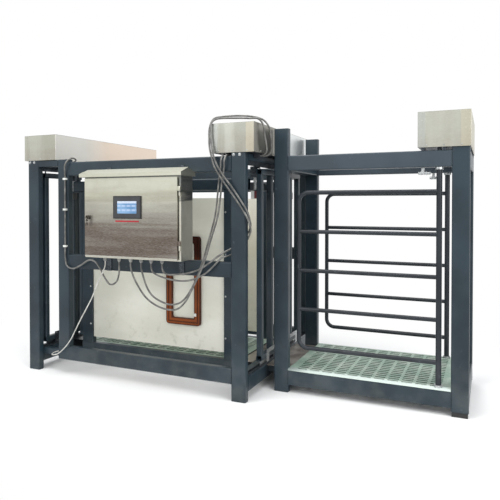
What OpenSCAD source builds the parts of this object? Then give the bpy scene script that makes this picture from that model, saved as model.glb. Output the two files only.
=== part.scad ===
// Automatic livestock weighing crate with a sorting run behind it.
// X runs along the animals' path, Y from the front to the back, Z up. Lengths are millimetres.

/* [Weighing frame] */
// Length over the end posts
weigh_len = 1809; // [1700:1:2000]
// Depth over the posts
weigh_dep = 1310; // [1280:1:1400]
// Height of the posts
post_h = 1580; // [1560:1:1640]
// Post and beam width
tube_w = 100; // [90:1:104]
// Post and beam thickness
tube_d = 50; // [44:1:54]
// Tube wall
tube_wall = 4; // [3:0.5:5]
// Radius of the tube corners
tube_round = 8; // [6:0.5:10]
// Start of the second post
second_post_x = 290; // [284:1:300]
// Underside of the lower beams
lower_z = 106; // [100:1:112]
// Underside of the middle beams
middle_z = 785; // [760:1:800]
// Distance from the post tops down to the upper beams' underside
upper_drop = 120; // [116:1:128]
// Underside of the end sills
sill_z = 58; // [50:1:64]
// Height of the top cross beams
top_beam_h = 50; // [44:1:54]

/* [Sliding doors] */
// Width of the door bars
bar_d = 40; // [36:1:40]
// Distance between the outer bars of a door leaf
leaf_span = 356; // [348:1:358]
// Width of the door rails
rail_w = 41; // [41:0.5:44]
// Height of the door rails
rail_h = 38; // [34:1:40]
// Height of the door's bottom rail above the ground
rail_low_z = 197; // [194:1:204]
// Distance from the post tops down to the door's top rail
rail_drop = 128; // [126:1:134]
// Distance of the door plane from the portal's left face
door_off = 85; // [82:1:86]
// First bar of the entry door
entry_bar_y = 88; // [84:1:92]

/* [Covers] */
// Sheet thickness of the covers
sheet = 2; // [1.5:0.5:3]
// Height of the door covers
cover_h = 188; // [184:1:200]
// Length of the entry cover along the path
entry_cover_w = 305; // [300:1:310]
// Length of the exit cover along the path
exit_cover_w = 298; // [292:1:302]
// Thickness of the base plates
plate = 4; // [3:0.5:5]

/* [Hanging cage] */
// Left face of the cage
cage_x = 254; // [250:1:260]
// Distance from the cage to the exit posts
cage_gap = 103; // [97:1:117]
// Front face of the cage
cage_y = 300; // [296:1:310]
// Underside of the cage
cage_z = 64; // [58:1:70]
// Distance from the post tops down to the cage's top beams
cage_drop = 228; // [224:1:234]
// Height of the cage's top beams
cage_top_h = 80; // [76:1:82]
// Thickness of the slatted floor
slat_t = 32; // [28:1:36]
// Thickness of the side panels
panel_t = 20; // [16:1:24]
// Gap below the side panels
panel_gap = 45; // [40:1:50]
// Gap above the side panels
panel_drop = 56; // [53:1:83]
// Height of a load cell
cell_h = 75; // [70:1:78]
// Width of a load cell
cell_w = 60; // [54:1:64]
// Thickness of a load cell
cell_t = 25; // [22:1:28]

/* [Sorting run] */
// Gap between the two units
unit_gap = 78; // [71:1:101]
// Length of the sorting run
sort_len = 1217; // [1200:1:1240]
// Depth of the sorting run
sort_dep = 720; // [710:1:740]
// Height of the tall posts
tall_h = 1755; // [1740:1:1780]
// Height of the short posts with their feet
short_h = 1592; // [1590:1:1620]
// Height of a rubber foot
foot_h = 30; // [24:1:36]
// Distance from the short posts' tops down to the upper beams
sort_upper_drop = 118; // [116:1:124]
// Underside of the sorting run's lower beams
sort_lower_z = 48; // [44:1:54]
// Distance of the gate hinge from the short post
hinge_off = 71; // [66:1:76]
// Length of a gate
gate_len = 878; // [860:1:890]
// Diameter of a gate's hinge tube
hinge_d = 34; // [32:1:36]
// Diameter of a gate's frame tube
gate_d = 28; // [26:1:30]
// Diameter of a gate's inner bars
gate_bar_d = 26; // [22:1:26]
// Height of a gate's lowest bar
gate_low_z = 305; // [290:1:320]
// Distance from the upper gate bearing down to the top bar
gate_drop = 131; // [115:1:155]
// Radius of a gate's round corners
gate_bend = 60; // [50:1:70]
// Width of the gate drive cover
drive_w = 297; // [290:1:300]
// Height of the gate drive cover
drive_h = 212; // [200:1:230]

/* [Control cabinet] */
// Left face of the cabinet
cab_x = 675; // [660:1:690]
// Width of the cabinet
cab_w = 760; // [750:1:780]
// Depth of the cabinet body
cab_d = 144; // [130:1:160]
// Underside of the cabinet
cab_z = 892; // [889:1:900]
// Height of the cabinet
cab_h = 543; // [530:1:548]
// Thickness of the cabinet door
cab_door_t = 15; // [12:1:18]
// Height of the cabinet roof
roof_h = 55; // [45:1:60]
// Width of the touch panel
touch_w = 219; // [200:1:230]
// Height of the touch panel
touch_h = 149; // [140:1:160]

/* [Cables] */
// Diameter of the power cables
cable_d = 12; // [10:0.5:13]
// Diameter of the sensor lead
lead_d = 8; // [7:0.5:9]

/* [Hidden] */
$fn = 48;

// Colours
paint = "#46525c";
steel = "#c8c8be";
zinc = "#d5d8d8";
cream = "#dcdcc8";
green = "#7c9682";
dark = "#2b2d30";
white = "#eceeea";
brown = "#7d3c19";

// General clearances and overruns
over = 1;
slip = 0.05;
seat = 0.3;
arc_steps = 3;

// Places shared by several pieces
mid_y = weigh_dep / 2;
exit_x = weigh_len - tube_w;
upper_z = post_h - upper_drop;
rail_top_z = post_h - rail_drop;
sill_top = sill_z + tube_w;
lower_top = lower_z + tube_w;
top_beam_z = post_h - top_beam_h;
beam_right = exit_x;
beam_left = second_post_x + tube_w;
portals = [0, exit_x];
hanger_w = 60;
hanger_gap = 15;
hanger_x = tube_w + hanger_gap;
tie_h = 50;
tie_z = sill_top - tie_h;

// Sorting run
sort_x = weigh_len + unit_gap;
sort_y = mid_y - sort_dep / 2;
sort_end = sort_x + sort_len;
short_x = sort_end - tube_w;
sort_low_top = sort_lower_z + tube_w;
sort_upper_z = short_h - sort_upper_drop;
sort_up_top = sort_upper_z + tube_w;
walk_t = 12;
walk_top = sort_low_top + walk_t;
hinge_x = short_x - hinge_off;
near_y = sort_y + tube_d / 2;
pad_in = 5;
joist_w = 40;
joist_count = 3;
link_w = 50;
link_y = cage_y + tube_w;
bearing_h = 14;
bearing_d = 48;
pin_d = 24;
pin_depth = 10;
gate_top_z = sort_upper_z - bearing_h;
gate_base_z = walk_top + bearing_h;
gate_count = 5;
gate_pitch = (gate_top_z - gate_drop - gate_low_z) / (gate_count - 1);
gate_high_z = gate_low_z + (gate_count - 1) * gate_pitch;
motor_d = 44;
motor_h = 150;
flange_t = 6;
shaft_end = 60;

// Cage
cage_end = exit_x - cage_gap;
cage_len = cage_end - cage_x;
cage_top_z = post_h - cage_drop;
cage_back = 2 * mid_y - cage_y;
cage_low_top = cage_z + tube_w;
cage_post_w = tube_w;
cage_top_over = 84;
cross_h = 60;
cross_w = 50;
floor_drop = 2;
floor_top = cage_low_top - floor_drop;
panel_z = cage_low_top + panel_gap;
panel_h = cage_top_z - panel_drop - panel_z;
panel_in = 15;
hang_t = 8;
hang_gap = 2;
cell_lift = 4;
cell_z = cage_top_z + cage_top_h + cell_lift;
cell_top = cell_z + cell_h;
rod_d = 20;
stud_d = 16;
slot_w = 5;
slot_len = 34;
cell_bore = 8;
stop_h = 54;
stop_w = 40;
cell_front_x = hanger_x + hanger_w / 2;
cell_in = 26;
cell_rear_x = exit_x + cell_in;

// Slatted floors
slot_pitch_x = 84;
slot_l = 66;
slot_pitch_y = 38;
slot_g = 16;

// Doors
bar_shares = [0, 0.5, 0.884, 1];
leaf_gap = 3;
exit_bar_y = mid_y - leaf_gap - leaf_span - bar_d / 2;
track_w = 30;
track_h = 26;
track_wall = 3;
track_slot = 14;
channel_h = 14;
glider_l = 44;
glider_gap = 1;
stem_d = 10;
shoe_t = 10;
shoe_l = 100;
shoe_in = 54;
arm_t = 6;
arm_w = 40;
strap_t = 4;
strap_w = 27;
strap_l = 155;
strap_in = 68;
leg_w = 40;
leg_drop = 24;
hole_d = 9;
rod_front_x = 75;
rod_front_z = 28;
rod_rear_x = 25;
rod_rear_z = 92;
barrel_d = 40;
barrel_l = 330;
barrel_gap = 5;
barrel_y = mid_y - barrel_gap;
drive_rod_d = 16;
drive_rod_l = 325;
lug_w = 20;
saddle_w = 30;
saddle_inset = 40;
cover_out = 6;
entry_cover_x = -28;
exit_cover_back = 135;
exit_cover_x = exit_x - exit_cover_back;
sort_cover_lap = 4;
sort_cover_out = 10;
sort_cover_x = sort_end + sort_cover_lap - drive_w;
sort_cover_y = sort_y - sort_cover_out;
plate_slot_l = 640;
plate_slot_room = 4;
arm_x = door_off + rail_w / 2;

// Cabinet
strip_t = 6;
strip_w = 40;
strip_inset = 85;
cab_back = -strip_t;
cab_front = cab_back - cab_d;
cab_lip = 16;
cab_hinge_d = 12;
door_gap = 8;
door_x = cab_x + door_gap;
door_w = cab_w - 2 * door_gap - cab_hinge_d;
door_z = cab_z + door_gap;
door_h = cab_h - 2 * door_gap;
door_front = cab_front - cab_door_t;
cab_hinge_l = 60;
cab_pin_d = 6;
cab_hinge_x = door_x + door_w + cab_hinge_d;
cab_hinge_y = cab_front - cab_hinge_d / 2 - seat;
cab_hinge_shares = [0.18, 0.82];
touch_side = 252;
touch_rise = 266;
touch_x = cab_x + touch_side;
touch_z = cab_z + touch_rise;
touch_t = 8;
touch_back = 34;
touch_edge = 12;
screen_t = 2;
screen_side = 33;
screen_low = 34;
lock_d = 22;
lock_flange_d = 30;
lock_flange_t = 5;
lock_out = 12;
lock_side = 46;
lock_rise = 274;
lock_x = cab_x + lock_side;
lock_z = cab_z + lock_rise;
cam_l = 40;
cam_w = 14;
cam_t = 3;
key_t = 2.5;
key_w = 20;
key_l = 22;
roof_over = 22;
eave_h = 22;
gland_d = 24;
gland_h = 30;
backplate_t = 3;
backplate_in = 40;
spacer_d = 14;
spacer_h = 10;
module_shares = [[0.06, 0.56, 0.20, 0.32], [0.32, 0.56, 0.30, 0.32], [0.68, 0.56, 0.26, 0.32],
    [0.06, 0.10, 0.88, 0.24]];
module_t = 62;

// Small fittings
bolt_d = 17;
bolt_t = 7;
bolt_drop = 14;
bolt_shares = [0.2, 0.62];
box_h = 24;
box_l = 38;
box_edge = 20;
clip_w = 26;
clip_h = 14;
clip_first = 13;
clip_last = 15;
antenna_back = 568;
antenna_rise = 170;
antenna_x = cage_end - antenna_back;
antenna_w = 284;
antenna_z = panel_z + antenna_rise;
antenna_h = 643;
antenna_band = 50;
antenna_t = 20;
antenna_round = 24;
hole_round = 12;
antenna_steps = 5;
groove_in = 20;
groove_round = 14;
groove_w = 4;
groove_d = 3;
sensor_d = 18;
sensor_l = 70;
sensor_off = 50;
sensor_drop = 34;

// Overall box, whose bottom centre is the origin
box_left = entry_cover_x;
box_right = sort_cover_x + drive_w;
box_front = door_front - lock_out - key_l;
box_back = weigh_dep + max(cover_out, bolt_t);
origin_x = (box_left + box_right) / 2;
origin_y = (box_front + box_back) / 2;

// Cable routes: low points from the cabinet's corner, high ones from a post's top or a beam's end
gland_z = cab_z - gland_h;
lead_low = [[111, -80, -30], [111, -80, -57], [90, -76, -102], [30, -66, -195], [-22, -56, -291],
    [-85, -46, -382], [-147, -36, -468], [-205, -28, -557], [-257, -22, -634]];
lead_end = [[60, -24, 79], [16, -28, 46], [-26, -26, 34], [-49, -16, 32], [-59, 7, 36],
    [-49, 30, 41], [-26, 40, 46], [10, 40, 50]];
entry_low = [[229, -80, -30], [229, -80, -62], [227, -80, -112], [201, -76, -170],
    [147, -70, -192], [95, -60, -156], [44, -50, -92], [-7, -42, -46], [-61, -34, -35],
    [-160, -24, -82], [-235, -18, -106], [-287, -14, -88], [-307, -10, -32]];
entry_high = [[78, -10, -634], [78, -10, -366], [78, -10, -143], [78, -10, -120], [80, -14, -86],
    [89, -23, -48], [101, -22, -23], [113, -11, -4], [121, 8, 7], [122, 33, 9], [114, 61, 3], [92, 87, -5], [56, 108, -11],
    [10, 123, -13], [-28, 130, -12], [-50, 130, -12]];
exit_low_a = [[324, -80, -30], [324, -80, -62], [347, -80, -128], [391, -78, -200],
    [437, -75, -256], [512, -72, -304], [607, -70, -328], [680, -68, -320]];
exit_high_a = [[-297, -64, -959], [-244, -60, -867], [-203, -58, -788], [-162, -54, -697],
    [-119, -46, -555], [-75, -32, -395], [-50, -21, -173], [-37, -21, -90], [-32, -28, -54],
    [-30, -25, -38], [-29, -15, -23], [-29, 0, -13], [-29, 18, -9], [-29, 60, -9], [-29, 84, -9]];
exit_low_b = [[408, -80, -30], [408, -80, -62], [421, -75, -120], [445, -64, -197],
    [479, -56, -247], [549, -48, -286], [622, -42, -300], [692, -36, -278]];
exit_high_b = [[-277, -30, -888], [-217, -24, -765], [-147, -20, -555], [-101, -20, -395],
    [-73, -20, -173], [-61, -21, -90], [-56, -28, -54], [-54, -25, -38], [-53, -15, -23],
    [-53, 0, -13], [-53, 18, -9], [-53, 60, -9], [-53, 84, -9]];
sorter_low_a = [[488, -80, -30], [488, -80, -52], [492, -80, -72], [503, -80, -88], [520, -80, -99],
    [565, -78, -115], [666, -70, -134]];
sorter_high_a = [[-268, -54, -818], [-172, -30, -774], [-109, -17, -718], [-69, 2, -671],
    [-33, 36, -658], [-1, 63, -640], [46, 66, -600], [93, 62, -544], [119, 40, -496],
    [127, 8, -456], [121, -14, -412], [68, -16, -330], [12, -22, -252], [-41, -35, -176],
    [-97, -36, -90], [-119, -32, -30], [-139, -23, 32], [-150, -10, 100], [-151, 6, 176],
    [-131, 22, 223], [-73, 44, 237], [21, 66, 240], [113, 90, 232], [173, 112, 212],
    [205, 134, 170], [211, 154, 110], [208, 172, 50], [205, 179, 22], [196, 183, 5], [181, 185, -7],
    [159, 186, -12], [141, 186, -12]];
sorter_low_b = [[573, -80, -30], [573, -80, -50], [577, -80, -69], [587, -80, -84], [603, -79, -94],
    [623, -76, -98], [665, -68, -96]];
sorter_high_b = [[-302, -58, -776], [-205, -41, -746], [-137, -22, -700], [-93, -2, -662],
    [-57, 32, -634], [-13, 63, -606], [43, 67, -562], [93, 62, -508], [119, 42, -460],
    [127, 8, -420], [121, -14, -374], [68, -16, -292], [12, -22, -212], [-37, -35, -144],
    [-79, -36, -80], [-108, -32, -14], [-125, -26, 50], [-132, -22, 118], [-132, -21, 168],
    [-128, -16, 192], [-118, -7, 208], [-102, 4, 218], [-79, 16, 222], [15, 42, 222], [103, 60, 218],
    [160, 72, 212], [186, 88, 174], [189, 104, 110], [193, 122, 54], [190, 136, 18], [180, 143, 2],
    [165, 147, -8], [151, 148, -12], [141, 148, -12]];
cab_corner = [cab_x, 0, cab_z];
second_top = [second_post_x, 0, post_h];
exit_top = [exit_x, 0, post_h];

function from(base, points) = [for (p = points) base + p];
lead_route = concat(from(cab_corner, lead_low), from([second_post_x, 0, lower_z], lead_end));
entry_route = concat(from(cab_corner, entry_low), from(second_top, entry_high));
exit_route_a = concat(from(cab_corner, exit_low_a), from(exit_top, exit_high_a));
exit_route_b = concat(from(cab_corner, exit_low_b), from(exit_top, exit_high_b));
sorter_route_a = concat(from(cab_corner, sorter_low_a), from(exit_top, sorter_high_a));
sorter_route_b = concat(from(cab_corner, sorter_low_b), from(exit_top, sorter_high_b));
routes = [lead_route, entry_route, exit_route_a, exit_route_b, sorter_route_a, sorter_route_b];

// Sweep of a round cable along its route
function unit(v) = v / norm(v);
function heading(p, i) = unit(p[min(i + 1, len(p) - 1)] - p[max(i - 1, 0)]);
function flatten(u, t) = unit(u - (u * t) * t);
function side_axis(p, i) = i == 0 ? flatten([1, 0, 0], heading(p, 0))
    : flatten(side_axis(p, i - 1), heading(p, i));
function ring(p, i, r, sides) = let (t = heading(p, i), u = side_axis(p, i), v = cross(t, u))
    [for (k = [0:sides - 1]) p[i] + r * (cos(360 * k / sides) * u + sin(360 * k / sides) * v)];

module cable(p, d, sides) {
    n = len(p);
    points = [for (i = [0:n - 1]) each ring(p, i, d / 2, sides)];
    skin = [for (i = [0:n - 2], k = [0:sides - 1]) let (a = i * sides + k,
        b = i * sides + (k + 1) % sides) each [[a, b, b + sides], [a, b + sides, a + sides]]];
    start = [for (k = [1:sides - 2]) [0, k + 1, k]];
    last = (n - 1) * sides;
    finish = [for (k = [1:sides - 2]) [last, last + k, last + k + 1]];
    polyhedron(points, concat(skin, start, finish));
}

// Outline of a rounded rectangle, counter-clockwise from its lower left corner
function rounded(w, h, r, steps, inset = 0) = [for (q = [0:3], s = [0:steps])
    let (a = 180 + 90 * q + 90 * s / steps,
        cx = q == 0 || q == 3 ? r : w - r,
        cy = q < 2 ? r : h - r)
    [cx + (r - inset) * cos(a), cy + (r - inset) * sin(a)]];

module ring_section(w, h, r, wall, steps) {
    n = 4 * (steps + 1);
    polygon(concat(rounded(w, h, r, steps), rounded(w, h, r, steps, wall)),
        [[for (i = [0:n - 1]) i], [for (i = [0:n - 1]) n + i]]);
}

module section(w, h) {
    ring_section(w, h, tube_round, tube_wall, arc_steps);
}

module tube_x(x0, x1, y0, z0, d, h) {
    translate([x0, y0, z0]) rotate([90, 0, 90]) linear_extrude(x1 - x0) section(d, h);
}

module tube_y(x0, y0, y1, z0, w, h) {
    translate([x0, y1, z0]) rotate([90, 0, 0]) linear_extrude(y1 - y0) section(w, h);
}

module tube_z(x0, y0, z0, z1, w, d) {
    translate([x0, y0, z0]) linear_extrude(z1 - z0) section(w, d);
    translate([x0, y0, z0]) linear_extrude(tube_wall) polygon(rounded(w, d, tube_round, arc_steps));
}

module pipe_z(x, y, z0, z1, d, wall) {
    translate([x, y, z0]) difference() {
        cylinder(h = z1 - z0, d = d);
        translate([0, 0, -over]) cylinder(h = z1 - z0 + 2 * over, d = d - 2 * wall);
    }
}

module rod_x(x0, x1, y, z, d) {
    translate([x0, y, z]) rotate([0, 90, 0]) cylinder(h = x1 - x0, d = d);
}

module rod_y(x, y0, y1, z, d) {
    translate([x, y1, z]) rotate([90, 0, 0]) cylinder(h = y1 - y0, d = d);
}

module block(x0, x1, y0, y1, z0, z1) {
    translate([x0, y0, z0]) cube([x1 - x0, y1 - y0, z1 - z0]);
}

// The front half and its mirror image at the back
module flip() {
    translate([0, 2 * mid_y, 0]) mirror([0, 1, 0]) children();
}

module both() {
    children();
    flip() children();
}

module place() {
    translate([-origin_x, -origin_y, 0]) children();
}

// Weighing unit's outer frame
module tie_tubes() color(paint) place() both() {
    tube_x(tube_w, second_post_x, 0, top_beam_z, tube_d, top_beam_h);
    tube_x(tube_w, beam_left, tube_d, tie_z, tube_d, tie_h);
    tube_x(weigh_len, sort_x, link_y, sort_lower_z + joist_w, link_w, link_w);
}

module weigh_posts() color(paint) place() both() {
    tube_z(0, 0, 0, post_h, tube_w, tube_d);
    tube_z(second_post_x, 0, lower_top, post_h, tube_w, tube_d);
    tube_z(exit_x, 0, 0, post_h, tube_w, tube_d);
}

module side_beams() color(paint) place() both() {
    tube_x(second_post_x, beam_right, 0, lower_z, tube_d, tube_w);
    tube_x(beam_left, beam_right, 0, middle_z, tube_d, tube_w);
    tube_x(beam_left, beam_right, 0, upper_z, tube_d, tube_w);
}

module cross_beams() color(paint) place() {
    for (x = portals) {
        tube_y(x, tube_d, weigh_dep - tube_d, sill_z, tube_w, tube_w);
        tube_y(x, tube_d, weigh_dep - tube_d, top_beam_z, tube_w, top_beam_h);
    }
    tube_y(hanger_x, tube_d, weigh_dep - tube_d, top_beam_z, hanger_w, top_beam_h);
}

// Sorting run's frame
module sorter_posts() color(paint) place() both() {
    tube_z(sort_x, sort_y, 0, tall_h, tube_w, tube_d);
    translate([sort_x, sort_y, tall_h]) mirror([0, 0, 1]) linear_extrude(tube_wall)
        polygon(rounded(tube_w, tube_d, tube_round, arc_steps));
    tube_z(short_x, sort_y, foot_h, short_h, tube_w, tube_d);
}

module sorter_side_beams() color(paint) place() both() {
    tube_x(sort_x + tube_w, short_x, sort_y, sort_lower_z, tube_d, tube_w);
    difference() {
        tube_x(sort_x + tube_w, short_x, sort_y, sort_upper_z, tube_d, tube_w);
        translate([hinge_x, near_y, sort_upper_z - over])
            cylinder(h = tube_w + 2 * over, d = pin_d + 4 * over);
    }
}

module sorter_cross_beams() color(paint) place() {
    for (x = [sort_x, short_x]) {
        tube_y(x, sort_y + tube_d, sort_y + sort_dep - tube_d, sort_lower_z, tube_w, tube_w);
        tube_y(x, sort_y + tube_d, sort_y + sort_dep - tube_d, sort_upper_z, tube_w, tube_w);
    }
    for (i = [1:joist_count])
        tube_y(sort_x + i * sort_len / (joist_count + 1), sort_y + tube_d, sort_y + sort_dep - tube_d,
            sort_low_top - joist_w, joist_w, joist_w);
}

module levelling_feet() color(dark) place() both()
    block(short_x + pad_in, sort_end - pad_in, sort_y + pad_in, sort_y + tube_d - pad_in, 0, foot_h);

// Floors
function slot_outline(x, y, l, g) = [[x, y], [x, y + g], [x + l, y + g], [x + l, y]];

module slatted(w, d, t) {
    nx = floor((w - slot_pitch_x + slot_l) / slot_pitch_x);
    ny = floor((d - slot_pitch_y + slot_g) / slot_pitch_y);
    x0 = (w - (nx - 1) * slot_pitch_x - slot_l) / 2;
    y0 = (d - (ny - 1) * slot_pitch_y - slot_g) / 2;
    slots = [for (i = [0:nx - 1], j = [0:ny - 1])
        slot_outline(x0 + i * slot_pitch_x, y0 + j * slot_pitch_y, slot_l, slot_g)];
    linear_extrude(t) polygon(
        concat([[0, 0], [w, 0], [w, d], [0, d]], [for (s = slots) each s]),
        concat([[0, 1, 2, 3]], [for (k = [0:len(slots) - 1]) [for (c = [0:3]) 4 + 4 * k + c]]));
}

module threshold_plates() color(cream) place() {
    for (x = [[tube_w, cage_x - cell_bore], [cage_end + cell_bore, exit_x]])
        block(x[0], x[1], cage_y + tube_d, cage_back - tube_d, sill_top - plate, sill_top);
    block(tube_w, tube_w + plate, cage_y + tube_d, cage_back - tube_d, sill_z, sill_top - plate);
    block(exit_x - plate, exit_x, cage_y + tube_d, cage_back - tube_d, sill_z, sill_top - plate);
    color(zinc) block(weigh_len + slot_w, sort_x + tube_w, cage_y + tube_d, cage_back - tube_d,
        sort_low_top, sort_low_top + plate);
}

module sorter_floor() color(green) place()
    translate([sort_x + tube_w, sort_y, sort_low_top]) slatted(sort_len - 2 * tube_w, sort_dep, walk_t);

// Covers and the plates below them
module base_plates() color(zinc) place() {
    for (i = [0, 1]) let (x = portals[i],
        left = i == 0 ? entry_cover_x : exit_cover_x,
        w = i == 0 ? entry_cover_w : exit_cover_w)
        difference() {
            block(left + sheet, left + w - sheet, sheet - cover_out, weigh_dep + cover_out - sheet,
                post_h, post_h + plate);
            block(x + arm_x - over, x + arm_x + arm_t + plate_slot_room,
                mid_y - plate_slot_l / 2, mid_y + plate_slot_l / 2, post_h - over, post_h + plate + over);
        }
    difference() {
        block(sort_cover_x + sheet, sort_cover_x + drive_w - sheet, sort_cover_y + sheet,
            2 * mid_y - sort_cover_y - sheet, short_h, short_h + plate);
        both() translate([hinge_x, near_y, short_h - over])
            cylinder(h = plate + 2 * over, d = pin_d + 4 * over);
    }
    both() for (x = [sort_cover_x + joist_w, hinge_x + joist_w])
        block(x - joist_w / 2, x, sort_y, sort_y + tube_d, sort_up_top, short_h);
}

module cover(x, y0, w, d, z, h) {
    difference() {
        block(x, x + w, y0, y0 + d, z, z + h);
        block(x + sheet, x + w - sheet, y0 + sheet, y0 + d - sheet, z - over, z + h - sheet);
    }
}

module entry_cover() color(steel) place()
    cover(entry_cover_x, -cover_out, entry_cover_w, weigh_dep + 2 * cover_out, post_h, cover_h);

module exit_cover() color(steel) place()
    cover(exit_cover_x, -cover_out, exit_cover_w, weigh_dep + 2 * cover_out, post_h, cover_h);

module sorter_cover() color(steel) place()
    cover(sort_cover_x, sort_cover_y, drive_w, 2 * (mid_y - sort_cover_y), short_h, drive_h);

// Door tracks
module c_track() {
    w = track_w;
    h = track_h;
    t = track_wall;
    lip = (track_w - track_slot) / 2;
    polygon([[0, 0], [lip, 0], [lip, t], [t, t], [t, h - t], [w - t, h - t], [w - t, t],
        [w - lip, t], [w - lip, 0], [w, 0], [w, h], [0, h]]);
}

module overhead_tracks() color(zinc) place() for (x = portals)
    translate([x + door_off - track_w / 2, weigh_dep - tube_d, top_beam_z - track_h])
        rotate([90, 0, 0]) linear_extrude(weigh_dep - 2 * tube_d) c_track();

module bottom_tracks() color(zinc) place() for (x = portals) difference() {
    block(x + door_off - track_w / 2, x + door_off + track_w / 2, tube_d, weigh_dep - tube_d,
        sill_top, sill_top + channel_h);
    block(x + door_off - track_w / 2 + track_wall, x + door_off + track_w / 2 - track_wall,
        tube_d - over, weigh_dep - tube_d + over, sill_top + track_wall, sill_top + channel_h + over);
}

// Door leaves: bars between two rails, doubled at the closing edge
module leaf(x, y) {
    for (z = [rail_low_z, rail_top_z])
        tube_y(x + door_off - rail_w / 2, y - bar_d / 2, y + leaf_span + bar_d / 2, z, rail_w, rail_h);
    for (s = bar_shares)
        tube_z(x + door_off - bar_d / 2, y + s * leaf_span - bar_d / 2, rail_low_z + rail_h, rail_top_z,
            bar_d, bar_d);
}

module entry_front_leaf() color(paint) place() leaf(0, entry_bar_y);

module entry_rear_leaf() color(paint) place() flip() leaf(0, entry_bar_y);

module exit_front_leaf() color(paint) place() leaf(exit_x, exit_bar_y);

module exit_rear_leaf() color(paint) place() flip() leaf(exit_x, exit_bar_y);

// Hangers, floor shoes, guide strap, drive arm and rod of one leaf
module carriage(x, y, rod_x, rod_z) {
    side = x + arm_x;
    arm_y = y + leaf_span;
    stem_z = rail_top_z + rail_h;
    for (stem_y = [y, arm_y]) {
        translate([x + door_off, stem_y, stem_z])
            cylinder(h = top_beam_z - track_h + track_wall + glider_gap - stem_z + over, d = stem_d);
        block(x + door_off - track_w / 2 + track_wall + glider_gap,
            x + door_off + track_w / 2 - track_wall - glider_gap,
            stem_y - glider_l / 2, stem_y + glider_l / 2,
            top_beam_z - track_h + track_wall + glider_gap, top_beam_z - track_wall - glider_gap);
    }
    for (shoe_y = [y + shoe_in, y + leaf_span - shoe_in])
        block(x + door_off - shoe_t / 2, x + door_off + shoe_t / 2, shoe_y - shoe_l / 2, shoe_y + shoe_l / 2,
            sill_top + track_wall + glider_gap, rail_low_z);
    block(side, side + arm_t, arm_y - arm_w / 2, arm_y + arm_w / 2, rail_top_z,
        post_h + rod_z + lug_w / 2);
    block(x + rod_x - lug_w / 2, side + arm_t, arm_y - arm_t, arm_y + arm_t,
        post_h + rod_z - lug_w / 2, post_h + rod_z + lug_w / 2);
    rod_y(x + rod_x, arm_y, arm_y + drive_rod_l, post_h + rod_z, drive_rod_d);
    difference() {
        union() {
            block(side, side + strap_t, y + strap_in, y + strap_in + strap_l,
                rail_low_z + rail_h - strap_t, rail_low_z + rail_h + strap_w - strap_t);
            block(side, side + strap_t, y + strap_in, y + strap_in + leg_w,
                rail_low_z - leg_drop, rail_low_z + rail_h);
        }
        for (k = [0, 1])
            rod_x(side - over, side + strap_t + over, y + strap_in + leg_w / 2,
                rail_low_z + k * (rail_h + strap_w / 2 - strap_t) - (1 - k) * leg_drop / 2, hole_d);
    }
}

module entry_front_carriage() color(zinc) place() carriage(0, entry_bar_y, rod_front_x, rod_front_z);

module entry_rear_carriage() color(zinc) place() flip()
    carriage(0, entry_bar_y, rod_rear_x, rod_rear_z);

module exit_front_carriage() color(zinc) place()
    carriage(exit_x, exit_bar_y, rod_front_x, rod_front_z);

module exit_rear_carriage() color(zinc) place() flip()
    carriage(exit_x, exit_bar_y, rod_rear_x, rod_rear_z);

// Linear actuators under the covers
module actuator(x, rod_x, rod_z) {
    difference() {
        union() {
            rod_y(x + rod_x, barrel_y, barrel_y + barrel_l, post_h + rod_z, barrel_d);
            for (y = [barrel_y + saddle_inset, barrel_y + barrel_l - saddle_inset])
                block(x + rod_x - saddle_w / 2, x + rod_x + saddle_w / 2,
                    y - saddle_w / 2, y + saddle_w / 2, post_h + plate, post_h + rod_z);
        }
        rod_y(x + rod_x, barrel_y - over, barrel_y + barrel_l - tube_wall, post_h + rod_z,
            drive_rod_d + 2 * slip);
    }
}

module actuators(x) {
    actuator(x, rod_front_x, rod_front_z);
    flip() actuator(x, rod_rear_x, rod_rear_z);
}

module entry_actuators() color(dark) place() actuators(0);

module exit_actuators() color(dark) place() actuators(exit_x);

// Hanging cage
module cage_posts() color(paint) place() both() for (x = [cage_x, cage_end - cage_post_w])
    tube_z(x, cage_y, cage_low_top, cage_top_z, cage_post_w, tube_d);

module cage_top_beams() color(paint) place() both()
    tube_x(cage_x - cage_top_over, cage_end + cage_top_over, cage_y, cage_top_z, tube_d, cage_top_h);

module cage_bottom_beams() color(paint) place() both()
    tube_x(cage_x, cage_end, cage_y, cage_z, tube_d, tube_w);

module cage_cross_members() color(paint) place() {
    for (x = [cage_x, cage_end - cross_w])
        tube_y(x, cage_y + tube_d, cage_back - tube_d, cage_top_z, cross_w, cross_h);
    for (i = [0:joist_count])
        tube_y(cage_x + i * (cage_len - cross_w) / joist_count, cage_y + tube_d, cage_back - tube_d,
            floor_top - slat_t - cross_h, cross_w, cross_h);
}

module cage_floor() color(green) place()
    translate([cage_x, cage_y + tube_d, floor_top - slat_t])
        slatted(cage_len, cage_back - cage_y - 2 * tube_d, slat_t);

module panel() block(cage_x + cage_post_w, cage_end - cage_post_w, cage_y + panel_in,
    cage_y + panel_in + panel_t, panel_z, panel_z + panel_h);

module front_panel() color(cream) place() panel();

module rear_panel() color(cream) place() flip() panel();

module tag_antenna() color(brown) place()
    translate([antenna_x, cage_y + panel_in, antenna_z]) rotate([90, 0, 0]) difference() {
        linear_extrude(antenna_t) polygon(rounded(antenna_w, antenna_h, antenna_round, antenna_steps));
        translate([antenna_band, antenna_band, -over]) linear_extrude(antenna_t + 2 * over)
            polygon(rounded(antenna_w - 2 * antenna_band, antenna_h - 2 * antenna_band,
                hole_round, antenna_steps));
        translate([groove_in, groove_in, antenna_t - groove_d]) linear_extrude(groove_d + over)
            ring_section(antenna_w - 2 * groove_in, antenna_h - 2 * groove_in,
                groove_round, groove_w, antenna_steps);
    }

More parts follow.
